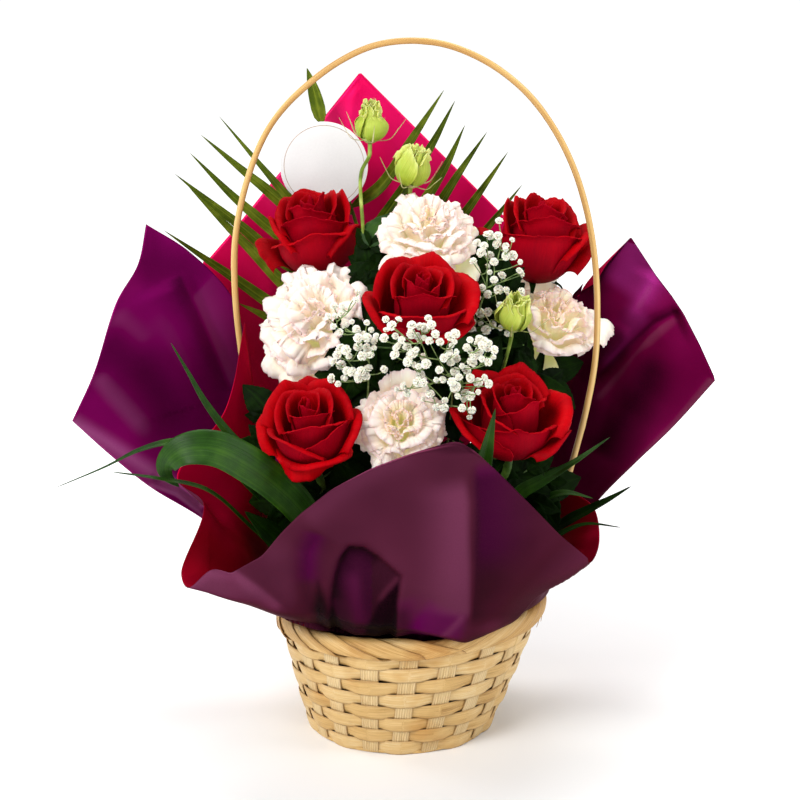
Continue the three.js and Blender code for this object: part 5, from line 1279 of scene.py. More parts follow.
def rose(name, seed, spec):
    """A half-open rose: rolled heart, a few broad upright petals, then wide lips rolled back and pinched to points."""
    c, R, axis = BLOOMS[name]
    c = np.array(c, float)
    fr = frame_of(axis)
    rng = np.random.default_rng(seed)
    soup = Soup()
    k_ = spec.get("scale", 0.94)
    R = R * k_
    tall = spec.get("tall", 0.0)
    hx, hy = spec.get("heart", (0, 0))
    az = spec.get("start", 0.0)
    rows = []
    for k in range(3):
        rows.append(dict(path=cup_path(0.10 + 0.03 * k, 0.05 + 0.045 * k, 0.66 + 0.10 * tall - 0.02 * k), half=2.3 - 0.2 * k, curl=-0.2 + 0.3 * k, cl=0.12, spiral=0.04, tip=0.02, drop=0.10, mid=0.9, ruf=0.018, tone=0.25))
    for k in range(3):
        rows.append(dict(path=cup_path(0.27 + 0.05 * k, 0.24 + 0.06 * k, 0.66 + 0.12 * tall - 0.03 * k), half=1.65, curl=0.9 + 0.2 * k, cl=0.12, spiral=0.07, tip=0.03, drop=0.16, mid=0.8, ruf=0.020, tone=0.35))
    for k in range(3):
        rows.append(dict(path=cup_path(0.45 + 0.05 * k, 0.44 + 0.06 * k, 0.60 + 0.10 * tall - 0.05 * k), half=1.45, curl=1.5 + 0.15 * k, cl=0.16, spiral=0.06, tip=0.04, drop=0.18, mid=0.7, ruf=0.024, tone=0.5))
    for q in rows:
        az += 2.2 + rng.uniform(-0.25, 0.25)
        q["az"] = az
    b0 = spec.get("belly", 0.70)
    for e in spec["outer"]:
        e = dict(e)
        e.setdefault("path", cup_path(e.get("belly", b0), e.get("top", b0 + 0.04), e.get("z", 0.42)))
        e["az"] = way(e["deg"])
        rows.append(e)
    for q in rows:
        path = np.array(q["path"], float)
        o = float(np.clip(path[2, 0] / 0.7, 0, 1))
        path[:, 0] *= 1 + 0.0 * o
        cc = c + fr[0] * hx * R * (1 - o) + fr[1] * hy * R * (1 - o)
        petal(soup, fr, cc, R, rng, path=[tuple(x) for x in path], az=q["az"], half=q.get("half", 1.15), spiral=q.get("spiral", 0.02),
              curl=q.get("curl", 2.0), curl_len=q.get("cl", 0.24), tip=q.get("tip", 0.06), drop=q.get("drop", 0.22), roll_mid=q.get("mid", 0.55), fringe=0.8,
              ruffle=q.get("ruf", 0.022), ruffle_k=rng.uniform(2.4, 3.8), serrate=0.012, frill=q.get("frill", 0.008), frill_k=11, size=(41, 28), thick=0.018,
              side_roll=q.get("side", 0.04), tone=float(np.clip(q.get("tone", 0.55) + rng.uniform(-0.08, 0.08), 0, 1)), base_w=q.get("bw", 0.72),
              twist=q.get("twist", rng.uniform(-0.08, 0.08)), lean_out=q.get("lean", 0.0), cup=q.get("cup", 0.0))
    return soup.make(name + "_petals", [rose_mat], [name + "_bloom"])


def G_(belly, r3, z3, r4, z4):
    """A guard petal's path: leaves the cup and reaches out to (r4, z4)."""
    return [(0.08, -0.80), (belly * 0.62, -0.66), (belly, -0.30), (r3, z3), (r4, z4)]


ROSE_LOOK = {
    "rose_1": dict(start=0.4, tall=1.0, belly=0.66, scale=1.0, outer=[
        dict(deg=120, z=0.62, top=0.58, half=1.25, curl=1.3, cl=0.16, tone=0.55, tip=0.05),
        dict(deg=40, z=0.60, top=0.60, half=1.15, curl=1.6, cl=0.18, tone=0.6, tip=0.08),
        dict(deg=205, z=0.50, top=0.66, half=1.05, curl=2.0, cl=0.20, tip=0.05, mid=0.7),
        dict(deg=285, z=0.36, top=0.70, belly=0.72, half=1.30, curl=2.6, cl=0.17, tip=0.04, mid=0.8, drop=0.16, tone=0.7),
        dict(deg=345, path=G_(0.70, 0.72, 0.06, 0.78, 0.34), half=0.80, curl=2.6, cl=0.24, tip=0.03, mid=0.8, drop=0.2, tone=0.3),
        dict(deg=186, path=G_(0.74, 0.90, -0.05, 1.00, 0.14), half=0.60, curl=2.6, cl=0.32, tip=0.04, mid=0.7, drop=0.26, tone=0.1)]),
    "rose_2": dict(start=2.2, belly=0.74, outer=[
        dict(deg=135, z=0.58, top=0.72, half=1.05, curl=1.3, cl=0.22, tone=0.5, tip=0.02, drop=0.20, mid=0.9),
        dict(deg=70, z=0.50, top=0.80, half=0.95, curl=1.4, cl=0.25, tone=0.5, mid=0.9),
        dict(deg=280, z=0.30, top=0.80, belly=0.78, half=1.35, curl=2.3, cl=0.14, tone=0.6, mid=0.8, drop=0.14, tip=0.0),
        dict(deg=15, path=G_(0.78, 0.96, 0.10, 1.08, 0.34), half=0.95, curl=1.9, cl=0.24, tone=0.65, mid=0.8, drop=0.18, tip=0.02),
        dict(deg=190, path=G_(0.80, 0.94, 0.0, 1.02, 0.22), half=0.80, curl=2.0, cl=0.24, tone=0.45, tip=0.02, mid=0.8),
        dict(deg=335, path=G_(0.80, 0.98, -0.22, 1.06, -0.10), half=0.8, curl=2.0, cl=0.28, tone=0.3, tip=0.03, mid=0.8),
        dict(deg=245, path=G_(0.84, 0.94, -0.2, 1.0, 0.0), half=0.85, curl=1.2, cl=0.2, tone=0.35)]),
    "rose_3": dict(start=3.1, tall=1.0, belly=0.66, scale=1.0, outer=[
        dict(deg=150, z=0.58, top=0.60, half=1.20, curl=1.4, cl=0.16, tip=0.05),
        dict(deg=50, z=0.54, top=0.62, half=1.15, curl=1.6, cl=0.18, tip=0.06),
        dict(deg=268, z=0.40, top=0.68, belly=0.70, half=1.50, curl=2.0, cl=0.14, tone=0.6, tip=0.0, mid=0.95, drop=0.12),
        dict(deg=330, path=G_(0.70, 0.74, 0.06, 0.80, 0.36), half=0.85, curl=2.2, cl=0.20, tone=0.65, tip=0.04, mid=0.8, drop=0.2),
        dict(deg=12, path=G_(0.72, 0.78, 0.05, 0.88, 0.34), half=0.70, curl=2.2, cl=0.24, tip=0.06, mid=0.7, drop=0.26, tone=0.25),
        dict(deg=345, path=G_(0.74, 0.84, -0.08, 0.94, 0.10), half=0.66, curl=2.2, cl=0.26, tip=0.06, mid=0.7, drop=0.26, tone=0.12),
        dict(deg=178, path=G_(0.74, 0.84, 0.0, 0.96, 0.26), half=0.72, curl=2.4, cl=0.30, tip=0.04, mid=0.7, drop=0.24, tone=0.15)]),
    "rose_4": dict(start=1.1, belly=0.70, tall=0.6, heart=(0, 0), outer=[
        dict(deg=130, z=0.56, top=0.74, half=1.0, curl=1.9, cl=0.22, mid=0.7, tone=0.6, tip=0.08),
        dict(deg=55, z=0.58, top=0.72, half=1.05, curl=1.6, cl=0.20, mid=0.8, tone=0.5),
        dict(deg=318, z=0.34, top=0.72, half=1.1, curl=1.6, cl=0.12, mid=0.8, tone=0.35, drop=0.14),
        dict(deg=232, z=0.30, top=0.76, half=1.15, curl=2.2, cl=0.16, mid=0.7, tone=0.45, tip=0.04),
        dict(deg=0, path=G_(0.76, 0.84, 0.02, 0.92, 0.28), half=0.74, curl=2.4, cl=0.24, tip=0.02, mid=0.8, drop=0.2, tone=0.6),
        dict(deg=180, path=G_(0.78, 0.88, 0.0, 0.98, 0.20), half=0.76, curl=2.3, cl=0.24, tip=0.02, mid=0.8, drop=0.2, tone=0.7),
        dict(deg=95, path=G_(0.76, 0.84, 0.10, 0.92, 0.46), half=0.70, curl=1.8, cl=0.2, tip=0.02, mid=0.85, tone=0.35),
        dict(deg=286, path=G_(0.80, 0.88, -0.22, 0.94, -0.04), half=1.05, curl=2.9, cl=0.20, tip=0.03, mid=0.8, drop=0.2, tone=0.7),
        dict(deg=254, path=G_(0.80, 0.96, -0.44, 1.10, -0.42), half=0.95, curl=2.4, cl=0.26, tip=0.03, mid=0.8, drop=0.18, tone=0.75)]),
    "rose_5": dict(start=5.0, belly=0.68, tall=0.5, outer=[
        dict(deg=140, z=0.62, top=0.80, half=1.0, curl=1.1, cl=0.22, mid=0.9, tone=0.4, drop=0.2),
        dict(deg=75, z=0.66, top=0.74, half=0.8, curl=1.5, cl=0.2, mid=0.9, tone=0.5),
        dict(deg=275, z=0.26, top=0.72, belly=0.74, half=1.25, curl=2.0, cl=0.12, mid=0.9, tone=0.45, drop=0.10),
        dict(deg=10, path=G_(0.74, 0.90, 0.10, 1.04, 0.42), half=0.92, curl=2.6, cl=0.24, mid=0.85, tone=0.7, drop=0.16, tip=0.02),
        dict(deg=220, path=G_(0.80, 0.88, -0.02, 0.92, 0.22), half=0.85, curl=0.9, cl=0.14, mid=0.9, tone=0.85, drop=0.16, tip=0.02),
        dict(deg=190, path=G_(0.80, 0.96, 0.0, 1.10, 0.30), half=0.8, curl=1.4, cl=0.24, tone=0.7, mid=0.7),
        dict(deg=330, path=G_(0.82, 0.96, -0.22, 1.06, 0.0), half=0.72, curl=1.8, cl=0.22, tip=0.04, tone=0.15)]),
}


def lathe_at(soup, c, fr, R, prof, seg=16, mat=0, tone=0.5):
    a = np.linspace(0, 2 * PI, seg, endpoint=False)
    P = np.array([[[r * math.cos(b), r * math.sin(b), z] for b in a] for r, z in prof])
    v, f = rings_skin(c + (P * R) @ fr)
    soup.add(v, f, mat, tone=tone, u=0.5, v=0.5)


def blade(soup, points, sizes, facing, steps=26, mat=0, tone=0.5, fold=0.25, across=9, wave=0.0, twist=0.0, seed=0, thin=0.4, tipc=1.0):
    """A leaf blade along points: sizes gives its width, fold how deep its V is."""
    ts = np.linspace(0, 1, steps + 1)
    C, T, S, U = frames(points, ts, facing)
    w = lerp_table([s[0] if not np.isscalar(s) else s for s in sizes], ts)
    w = np.maximum(w, 0.25)
    w[-1] = 0.12
    if twist:
        a = twist * ts
        S, U = S * np.cos(a)[:, None] + U * np.sin(a)[:, None], -S * np.sin(a)[:, None] + U * np.cos(a)[:, None]
    q = np.linspace(-1, 1, across)
    lift = fold * np.abs(q)[None] * w[:, None] / 2
    if wave:
        lift = lift + wave * w[:, None] * (q[None] ** 2) * wave1(ts * 7, seed, 2)[:, None] * np.sign(q)[None]
    G = C[:, None] + S[:, None] * (q[None] * w[:, None] / 2)[..., None] + U[:, None] * lift[..., None]
    v, f = slab(G, np.minimum(thin, 0.25 + 0.5 * w[:, None] / 6) * (1 - 0.5 * np.abs(q)[None] ** 3))
    n = steps + 1
    soup.add(v, f, mat, u=np.tile(np.tile(q, n), 2), v=np.tile(np.repeat(ts, across), 2), tone=tone)


def rose_leaf(soup, base, direction, normal, size, rng, tone=0.4, mat=1):
    """A pointed, finely toothed leaflet on a short stalk."""
    d = unit(direction)
    n = unit(np.asarray(normal, float) - d * (np.asarray(normal, float) @ d))
    s = np.cross(d, n)
    nu, nv = 15, 22
    t = np.linspace(0, 1, nv)
    w = 0.36 * np.sin(PI * t**0.72) ** 0.85 * (1 + 0.05 * np.sin(t * 60))
    w[0] = w[-1] = 0.012
    q = np.linspace(-1, 1, nu)
    bend = rng.uniform(0.15, 0.4)
    side = rng.uniform(-0.12, 0.12)
    G = (np.asarray(base) + size * (d * t[:, None, None] + s * (q[None, :, None] * w[:, None, None] + side * (t**2)[:, None, None])
         + n * ((0.16 * np.abs(q)[None] * w[:, None] - bend * (t**2)[:, None] + 0.015 * np.sin(t * 26)[:, None] * np.abs(q)[None])[..., None])))
    v, f = slab(G, 0.35)
    soup.add(v, f, mat, u=np.tile(np.tile(q, nv), 2), v=np.tile(np.repeat(t, nu), 2), tone=tone)


BOTTOM = {"rose": -0.78, "lisianthus": -0.66, "bud": -1.1}
SPRIGS = [  # pixel of the leaf's middle, its depth, length, direction it points and tone
    (345, 352, -44, 24, 200, 0.3), (362, 362, -50, 26, 60, 0.2), (350, 384, -52, 24, 250, 0.4), (376, 350, -40, 26, 110, 0.3), (396, 346, -36, 24, 70, 0.5),
    (384, 374, -50, 28, 140, 0.25), (350, 330, -34, 24, 150, 0.2), (372, 394, -52, 26, 210, 0.3), (340, 372, -40, 28, 180, 0.2), (364, 332, -34, 22, 90, 0.3),
    (420, 350, -40, 28, 60, 0.3), (446, 350, -40, 28, 100, 0.4), (440, 376, -48, 30, 30, 0.2), (466, 366, -46, 30, 80, 0.3), (472, 346, -38, 26, 40, 0.5),
    (456, 396, -48, 28, 120, 0.2), (430, 398, -46, 28, 160, 0.3), (450, 418, -50, 28, 300, 0.25), (410, 372, -46, 26, 100, 0.3), (486, 360, -42, 28, 60, 0.3),
    (500, 336, -18, 28, 120, 0.3), (520, 352, -12, 26, 70, 0.2), (536, 366, 22, 32, 30, 0.3), (512, 366, -30, 28, 150, 0.4), (548, 380, 22, 30, 60, 0.2),
    (562, 366, 26, 28, 20, 0.3), (492, 318, -14, 26, 100, 0.3), (540, 388, -24, 28, 10, 0.3), (556, 396, -14, 28, 330, 0.2), (504, 352, -26, 28, 200, 0.3),
    (368, 250, 6, 24, 100, 0.4), (376, 230, 8, 24, 70, 0.5), (362, 286, -6, 24, 240, 0.3), (371, 304, -24, 22, 200, 0.3), (372, 272, -4, 22, 60, 0.3),
    (484, 250, 8, 26, 70, 0.4), (496, 270, 8, 26, 110, 0.3), (488, 292, -4, 26, 60, 0.3), (480, 312, -18, 26, 150, 0.3), (506, 298, 2, 26, 40, 0.2), (474, 268, 4, 22, 120, 0.3),
    (350, 482, -64, 30, 300, 0.3), (372, 470, -58, 30, 250, 0.2), (300, 505, -66, 30, 210, 0.2), (332, 502, -66, 30, 260, 0.3), (272, 500, -60, 30, 190, 0.2), (285, 520, -62, 30, 230, 0.15),
    (500, 482, -58, 30, 330, 0.3), (522, 492, -52, 32, 350, 0.2), (542, 502, -46, 32, 300, 0.2), (530, 520, -56, 30, 280, 0.15), (556, 484, -36, 30, 20, 0.3), (512, 508, -60, 28, 310, 0.2),
    (262, 402, -30, 26, 130, 0.2), (250, 452, -50, 26, 190, 0.2), (470, 470, -58, 28, 290, 0.2),
]


def stem_line(name):
    kind = name.split("_")[0]
    c, R, axis = BLOOMS[name]
    c, ax = np.array(c, float), unit(axis)
    x, y, r, way_ = STEMS[name]
    base = c + ax * (BOTTOM[kind] * R - 0.35)
    before = base - ax * (8 if kind == "bud" else 14)
    return rooted(x, y, way_[0], 45) + [np.array(w, float) for w in way_] + [before, base]


SPRIG_OF = {}
for _k, _s in enumerate(SPRIGS):
    _p = unpix(_s[0], _s[1], _s[2])
    _best = min((np.linalg.norm(crom(stem_line(n), np.linspace(0.35, 0.97, 40)) - _p, axis=1).min(), n) for n in STEMS if not n.startswith("bud"))
    SPRIG_OF.setdefault(_best[1], []).append(_k)


def stem(name, leaves=0, seed=0):
    kind = name.split("_")[0]
    c, R, axis = BLOOMS[name]
    c, ax = np.array(c, float), unit(axis)
    x, y, r, way = STEMS[name]
    base = c + ax * (BOTTOM[kind] * R - 0.35)
    before = base - ax * (8 if kind == "bud" else 14)
    pts = rooted(x, y, way[0], 45) + [np.array(w, float) for w in way] + [before, base]
    soup = Soup()
    rng = np.random.default_rng(seed)
    th = r * (0.86 if kind == "bud" else 1.0)
    C, T = tube(soup, pts, [th * 1.04, th, th * 0.95, th * 0.9, th * 0.95, th * 1.1], 12, 70, 0, 0.07, seed, tone=0.5)
    fr = frame_of(ax)
    if kind == "rose":
        lathe_at(soup, base, fr, 1.0, [(r, -2.5), (r * 1.15, -0.5), (r * 1.7, 0.8), (r * 2.0, 2.4), (r * 1.7, 3.6)], 16, 0)
        for k in range(5):  # sepals
            a = k * 2 * PI / 5 + rng.uniform(-0.2, 0.2)
            d = fr[0] * math.cos(a) + fr[1] * math.sin(a)
            ln = R * rng.uniform(0.55, 0.75)
            p0 = base + d * r * 1.3 + ax * 1.5
            pts2 = [p0, p0 + d * ln * 0.45 + ax * ln * 0.05, p0 + d * ln * 0.85 - ax * ln * 0.02, p0 + d * ln * 1.0 - ax * ln * 0.25]
            blade(soup, pts2, [3.4, 5.2, 2.6, 0.4], ax, 14, 1, 0.5, 0.3, 7, 0.0, rng.uniform(-0.6, 0.6), k)
        for k in range(7):  # prickles
            j = rng.integers(24, 60)
            a = rng.uniform(0, 6.28)
            d = unit(np.cross(T[j], [math.cos(a), math.sin(a), 0.1]))
            p = C[j] + d * r * 0.8
            tube(soup, [p, p + d * 1.6 - T[j] * 0.4, p + d * 2.9 - T[j] * 1.5], [1.0, 0.6, 0.08], 6, 5, 0, 0, 0, tone=0.3)
    if kind == "lisianthus":
        lathe_at(soup, base, fr, 1.0, [(r, -2), (r * 1.25, 0), (r * 1.6, 1.5), (r * 1.5, 3.0)], 14, 0)
        for k in range(5):
            a = k * 2 * PI / 5 + 0.4
            d = fr[0] * math.cos(a) + fr[1] * math.sin(a)
            ln = R * rng.uniform(0.30, 0.36)
            p0 = base + d * r * 1.2 + ax * 0.6
            pts2 = [p0, p0 + d * ln * 0.35 + ax * ln * 0.02, p0 + d * ln * 0.75 - ax * ln * 0.05, p0 + d * ln - ax * ln * 0.25]
            blade(soup, pts2, [1.6, 1.8, 1.0, 0.3], ax, 12, 1, 0.6, 0.3, 5, 0.0, 0.3, k)
    for k in range(leaves):
        j = int(rng.integers(26, 56))
        a = rng.uniform(0, 6.28)
        side = unit(np.cross(T[j], [math.cos(a), math.sin(a), 0.0]))
        st = C[j] + side * r
        reach = rng.uniform(8, 16)
        end = st + side * reach + T[j] * reach * 0.8
        tube(soup, [C[j], st + side * reach * 0.4 + T[j] * reach * 0.2, end], [0.8, 0.6, 0.5], 6, 8, 0, 0, 0, tone=0.5)
        # these leaflets take the darker finish, which is painted shade
        for g in (-1, 0, 1):
            dr = unit(side + T[j] * 0.7 + np.cross(side, T[j]) * g * 1.1)
            rose_leaf(soup, end - (end - st) * (0.35 if g else 0.0), dr, unit(T[j] * 0.8 - side * 0.3 + rng.normal(0, 0.15, 3)), rng.uniform(20, 28) * (1.0 if g == 0 else 0.8), rng, rng.uniform(0.2, 0.7), 1)
    for k in SPRIG_OF.get(name, ()):
        u, v, y, size, deg, tone = SPRIGS[k]
        p = unpix(u, v, y)
        see = unit(CAM - p)
        right = unit(np.cross(see, [0, 0, 1]) * -1.0)
        up = np.cross(see, right) * 1.0
        up = up if up[2] > 0 else -up
        d = unit(right * math.cos(math.radians(deg)) + up * math.sin(math.radians(deg)) + see * rng.uniform(-0.3, 0.3))
        lo = p - d * size * 0.5
        j = int(np.argmin(np.linalg.norm(C[24:-3] - lo, axis=1))) + 24
        side = unit(lo - C[j])
        tube(soup, [C[j], C[j] * 0.5 + lo * 0.5 - np.array([0, 0, 2.0]), lo], [0.9, 0.7, 0.5], 6, 12, 0, 0, 0, tone=0.5)
        nn = unit(see + rng.normal(0, 0.22, 3))
        # a low tone gives the leaf the darker finish, which is painted shade
        rose_leaf(soup, lo, d, nn, size * 1.12, rng, tone, 1 if tone < 0.42 else 2)
        for g in (-1, 1):
            e = unit(d * 0.55 + np.cross(nn, d) * g * 0.9)
            rose_leaf(soup, lo, e, unit(nn + rng.normal(0, 0.2, 3)), size * 0.75, rng, tone * 0.8, 1)
    return soup.make(name + "_stem_leafy" if leaves or name in SPRIG_OF else name + "_stem_green", [pale_stem.m if kind == "bud" else green_mat.m, leaf_painted_shade, leaf_mat], [name + "_stem"])


# ---------------------------------------------------------------- lisianthus
def lisianthus(name, seed, rings=None, heart=0.0, axis2=None, extra=(), pink=0.3):
    """A full double bloom: broad wavy petals whose lips turn out one over the next, with a fine fringe."""
    c, R, axis = BLOOMS[name]
    c = np.array(c, float)
    fr = frame_of(axis2 or axis)
    rng = np.random.default_rng(seed)
    soup = Soup()
    az = rng.uniform(0, 6.28)
    rings = rings or [(3, 0.12, 0.10, 0.44, 1.6, 0.8, 0.22), (4, 0.20, 0.24, 0.47, 1.3, 1.3, 0.34), (4, 0.32, 0.40, 0.42, 1.15, 1.6, 0.38),
                      (5, 0.46, 0.56, 0.30, 1.0, 1.6, 0.40), (6, 0.58, 0.74, 0.10, 0.9, 1.4, 0.42), (7, 0.68, 0.90, -0.14, 0.8, 1.1, 0.44)]
    for lv, (n, belly, top, z, half, curl, cl) in enumerate(rings):
        for k in range(n):
            az += 2 * PI / n + rng.uniform(-0.22, 0.22)
            zz = z + rng.uniform(-0.05, 0.05)
            path = [(0.04, -0.62), (belly * 0.62, -0.50), (belly, -0.22 + 0.1 * (z - 0.1)), (belly * 0.45 + top * 0.55, zz * 0.5 - 0.03), (top * rng.uniform(0.95, 1.05), zz)]
            petal(soup, fr, c, R, rng, path=path, az=az, half=half * rng.uniform(0.88, 1.15), spiral=rng.uniform(-0.04, 0.04),
                  curl=curl * rng.uniform(0.7, 1.3), curl_len=cl, tip=0.02, drop=0.14, roll_mid=0.85,
                  ruffle=(0.06, 0.10, 0.12, 0.12, 0.12, 0.11)[min(lv + 6 - len(rings), 5)] * rng.uniform(0.8, 1.4), ruffle_k=rng.uniform(3.4, 6.0),
                  frill=0.026 * rng.uniform(0.8, 1.5), frill_k=rng.uniform(11, 19), serrate=0.05, fringe=0.84,
                  size=(49, 22), thick=0.013, tone=float(np.clip(rng.normal(0.5, 0.18), 0, 1)), base_w=0.45,
                  mats=(1, 1, 1) if lv < heart else (0, 0, 0), twist=rng.uniform(-0.25, 0.25), side_roll=0.03)
        az += 0.9
    for e in extra:
        e = dict(e)
        e.setdefault("ruffle", 0.05)
        e.setdefault("half", 0.6)
        e["az"] = way(e.pop("deg"))
        petal(soup, fr, c, R, rng, thick=0.013, size=(49, 26), base_w=e.pop("bw", 0.5), ruffle_k=4.6, frill=0.024, frill_k=15, serrate=0.05, fringe=0.84,
              tone=e.pop("tone", 0.5), mats=e.pop("mats", (0, 0, 0)), **e)
    return soup.make(name + "_petals", [lisi_mat, lisi_green], [name + "_bloom"])


# ---------------------------------------------------------------- buds
def bud(name, seed, sepals, neck=0.0, open_=0.0):
    """A furled green bud: petals wrapped round one another, their frilled ends just opening."""
    c, R, axis = BLOOMS[name]
    c = np.array(c, float)
    fr = frame_of(axis)
    rng = np.random.default_rng(seed)
    soup = Soup()
    az = rng.uniform(0, 6.28)
    for k in range(9):
        o = k / 8
        az += 2.3 + rng.uniform(-0.3, 0.3)
        inner = [(0.05, -0.95), (0.30, -0.75), (0.44, -0.20), (0.34, 0.45), (0.20, 0.98)]
        outer = [(0.08, -1.02), (0.62, -0.84), (0.94 - 0.06 * neck, -0.22), (0.74 - 0.40 * neck, 0.42), (0.50 - 0.28 * neck, 0.86 + 0.14 * neck)]
        path = mix_path(inner, outer, o, 0.07 * rng.uniform(-1, 1))
        opening = (k in (0, 1, 3, 4, 6, 7)) * rng.uniform(0.7, 1.4)
        petal(soup, fr, c, R, rng, path=path, az=az, half=1.35 - 0.35 * o, spiral=0.08, curl=-0.1 + (1.7 + 0.2 * neck + open_) * opening, curl_len=0.20 - 0.06 * neck,
              tip=0.03, drop=0.26, roll_mid=0.85, ruffle=0.05, ruffle_k=4.5, frill=0.045 + 0.02 * neck, frill_k=11, serrate=0.04, size=(37, 24), thick=0.035,
              tone=float(np.clip(0.5 + rng.uniform(-0.35, 0.35), 0, 1)), base_w=0.6, twist=0.6)
    lathe_at(soup, c, fr, R, [(0.10, -1.12), (0.20, -1.10), (0.34, -1.0), (0.50, -0.86), (0.44, -0.84)], 16, 1)
    ax = unit(axis)
    for k, (a, ln, out) in enumerate(sepals):
        d = fr[0] * math.cos(a) + fr[1] * math.sin(a)
        p0 = c + ax * (-1.0 * R) + d * 0.25 * R
        g = R * 1.02
        pts = [p0, p0 + d * g * 0.75 + ax * ln * 0.12, p0 + d * g * (0.90 + 0.25 * out) + ax * ln * 0.5, p0 + d * g * (0.85 + 0.75 * out) + ax * ln * 0.95]
        blade(soup, pts, [1.4, 1.1, 0.8, 0.25], ax, 18, 1, 0.9, 0.25, 5, 0.0, 0.5, k, 0.35)
    return soup.make(name + "_wrapped_petals", [bud_mat, sepal_mat], [name + "_bloom"])


sepal_mat = leaf_material("bud_sepal", (96, 120, 44), (150, 164, 84), (206, 196, 150), 5.0, 0.5, 0.0, 0.4)


for i, n in enumerate(("rose_1", "rose_2", "rose_3", "rose_4", "rose_5")):
    rose(n, 41 + i, ROSE_LOOK[n])
    stem(n, (2, 3, 2, 3, 2)[i], 141 + i)
lisianthus("lisianthus_1", 62, extra=[
    dict(deg=265, path=[(0.08, -0.6), (0.5, -0.52), (0.84, -0.4), (1.05, -0.42), (1.22, -0.55)], half=0.75, curl=0.6, curl_len=0.4, drop=0.16, roll_mid=0.9, ruffle=0.07),
    dict(deg=300, path=[(0.08, -0.6), (0.5, -0.52), (0.84, -0.4), (1.05, -0.40), (1.20, -0.48)], half=0.6, curl=0.6, curl_len=0.4, drop=0.16, roll_mid=0.9, ruffle=0.07),
    dict(deg=225, path=[(0.08, -0.6), (0.5, -0.52), (0.84, -0.36), (1.02, -0.34), (1.14, -0.42)], half=0.6, curl=0.6, curl_len=0.4, drop=0.16, roll_mid=0.9, ruffle=0.07)])
lisianthus("lisianthus_2", 63, heart=1, extra=[
    dict(deg=275, path=[(0.08, -0.6), (0.4, -0.5), (0.66, -0.2), (0.80, 0.02), (0.98, 0.02)], half=1.0, curl=1.2, curl_len=0.45, drop=0.12, roll_mid=0.95, ruffle=0.09),
    dict(deg=240, path=[(0.08, -0.6), (0.5, -0.5), (0.88, -0.3), (1.05, -0.30), (1.16, -0.40)], half=0.6, curl=0.8, curl_len=0.4, drop=0.14, roll_mid=0.9, ruffle=0.08),
    dict(deg=310, path=[(0.08, -0.6), (0.5, -0.56), (0.88, -0.5), (1.08, -0.54), (1.24, -0.70)], half=0.66, curl=0.4, curl_len=0.4, drop=0.16, roll_mid=0.9, mats=(1, 1, 1))])
lisianthus("lisianthus_3", 64, heart=3, axis2=(0.20, -0.42, 0.88),
           rings=[(3, 0.16, 0.12, 0.40, 1.6, 0.7, 0.2), (4, 0.30, 0.34, 0.44, 1.3, 1.0, 0.26), (4, 0.44, 0.54, 0.38, 1.15, 1.4, 0.34), (5, 0.56, 0.74, 0.20, 0.95, 1.4, 0.38), (6, 0.68, 0.98, 0.04, 0.9, 1.2, 0.42)],
           extra=[
    dict(deg=264, path=[(0.05, -0.66), (0.40, -0.60), (0.84, -0.66), (1.06, -1.05), (1.24, -1.52)], half=0.20, curl=0.3, curl_len=0.3, drop=0.10, roll_mid=0.9, bw=0.9, mats=(1, 1, 1)),
    dict(deg=222, path=[(0.05, -0.66), (0.36, -0.60), (0.74, -0.62), (1.00, -0.80), (1.16, -1.02)], half=0.28, curl=0.3, curl_len=0.3, drop=0.16, roll_mid=0.9, bw=0.9, mats=(1, 1, 1)),
    dict(deg=355, path=[(0.08, -0.6), (0.5, -0.46), (0.88, -0.1), (1.12, 0.05), (1.32, 0.0)], half=0.62, curl=0.9, curl_len=0.4, drop=0.12, roll_mid=0.9, ruffle=0.08),
    dict(deg=168, path=[(0.08, -0.6), (0.5, -0.42), (0.92, -0.05), (1.22, 0.16), (1.48, 0.26)], half=0.55, curl=1.0, curl_len=0.35, drop=0.12, roll_mid=0.9, ruffle=0.09),
    dict(deg=142, path=[(0.08, -0.6), (0.5, -0.40), (0.90, 0.1), (1.18, 0.44), (1.40, 0.68)], half=0.62, curl=1.0, curl_len=0.35, drop=0.12, roll_mid=0.9, ruffle=0.09),
    dict(deg=110, path=[(0.08, -0.6), (0.5, -0.36), (0.84, 0.16), (1.02, 0.50), (1.12, 0.76)], half=0.70, curl=1.0, curl_len=0.35, drop=0.12, roll_mid=0.9, ruffle=0.08)])
lisianthus("lisianthus_4", 65, heart=2, extra=[
    dict(deg=85, path=[(0.08, -0.6), (0.5, -0.42), (0.78, -0.05), (0.88, 0.20), (0.96, 0.34)], half=0.62, curl=0.9, curl_len=0.35, drop=0.12, roll_mid=0.95, ruffle=0.06)])
for i, n in enumerate(("lisianthus_1", "lisianthus_2", "lisianthus_3", "lisianthus_4")):
    stem(n, (0, 4, 0, 2)[i], 160 + i)
bud("bud_1", 71, [(0.3, 17, 0.8), (1.6, 15, 0.5), (2.9, 18, 0.9), (4.1, 14, 0.4), (5.4, 17, 0.9)], neck=1.0, open_=0.4)
bud("bud_2", 72, [(0.9, 16, 0.8), (2.2, 15, 0.9), (3.4, 17, 0.6), (4.7, 14, 0.9), (5.9, 16, 0.8)], neck=0.1, open_=0.5)
bud("bud_3", 73, [(0.1, 18, 1.0), (1.3, 15, 0.5), (2.6, 17, 1.0), (3.9, 15, 0.6), (5.2, 16, 0.8)], neck=0.3, open_=0.2)
for i, n in enumerate(("bud_1", "bud_2", "bud_3")):
    stem(n, 0, 180 + i)

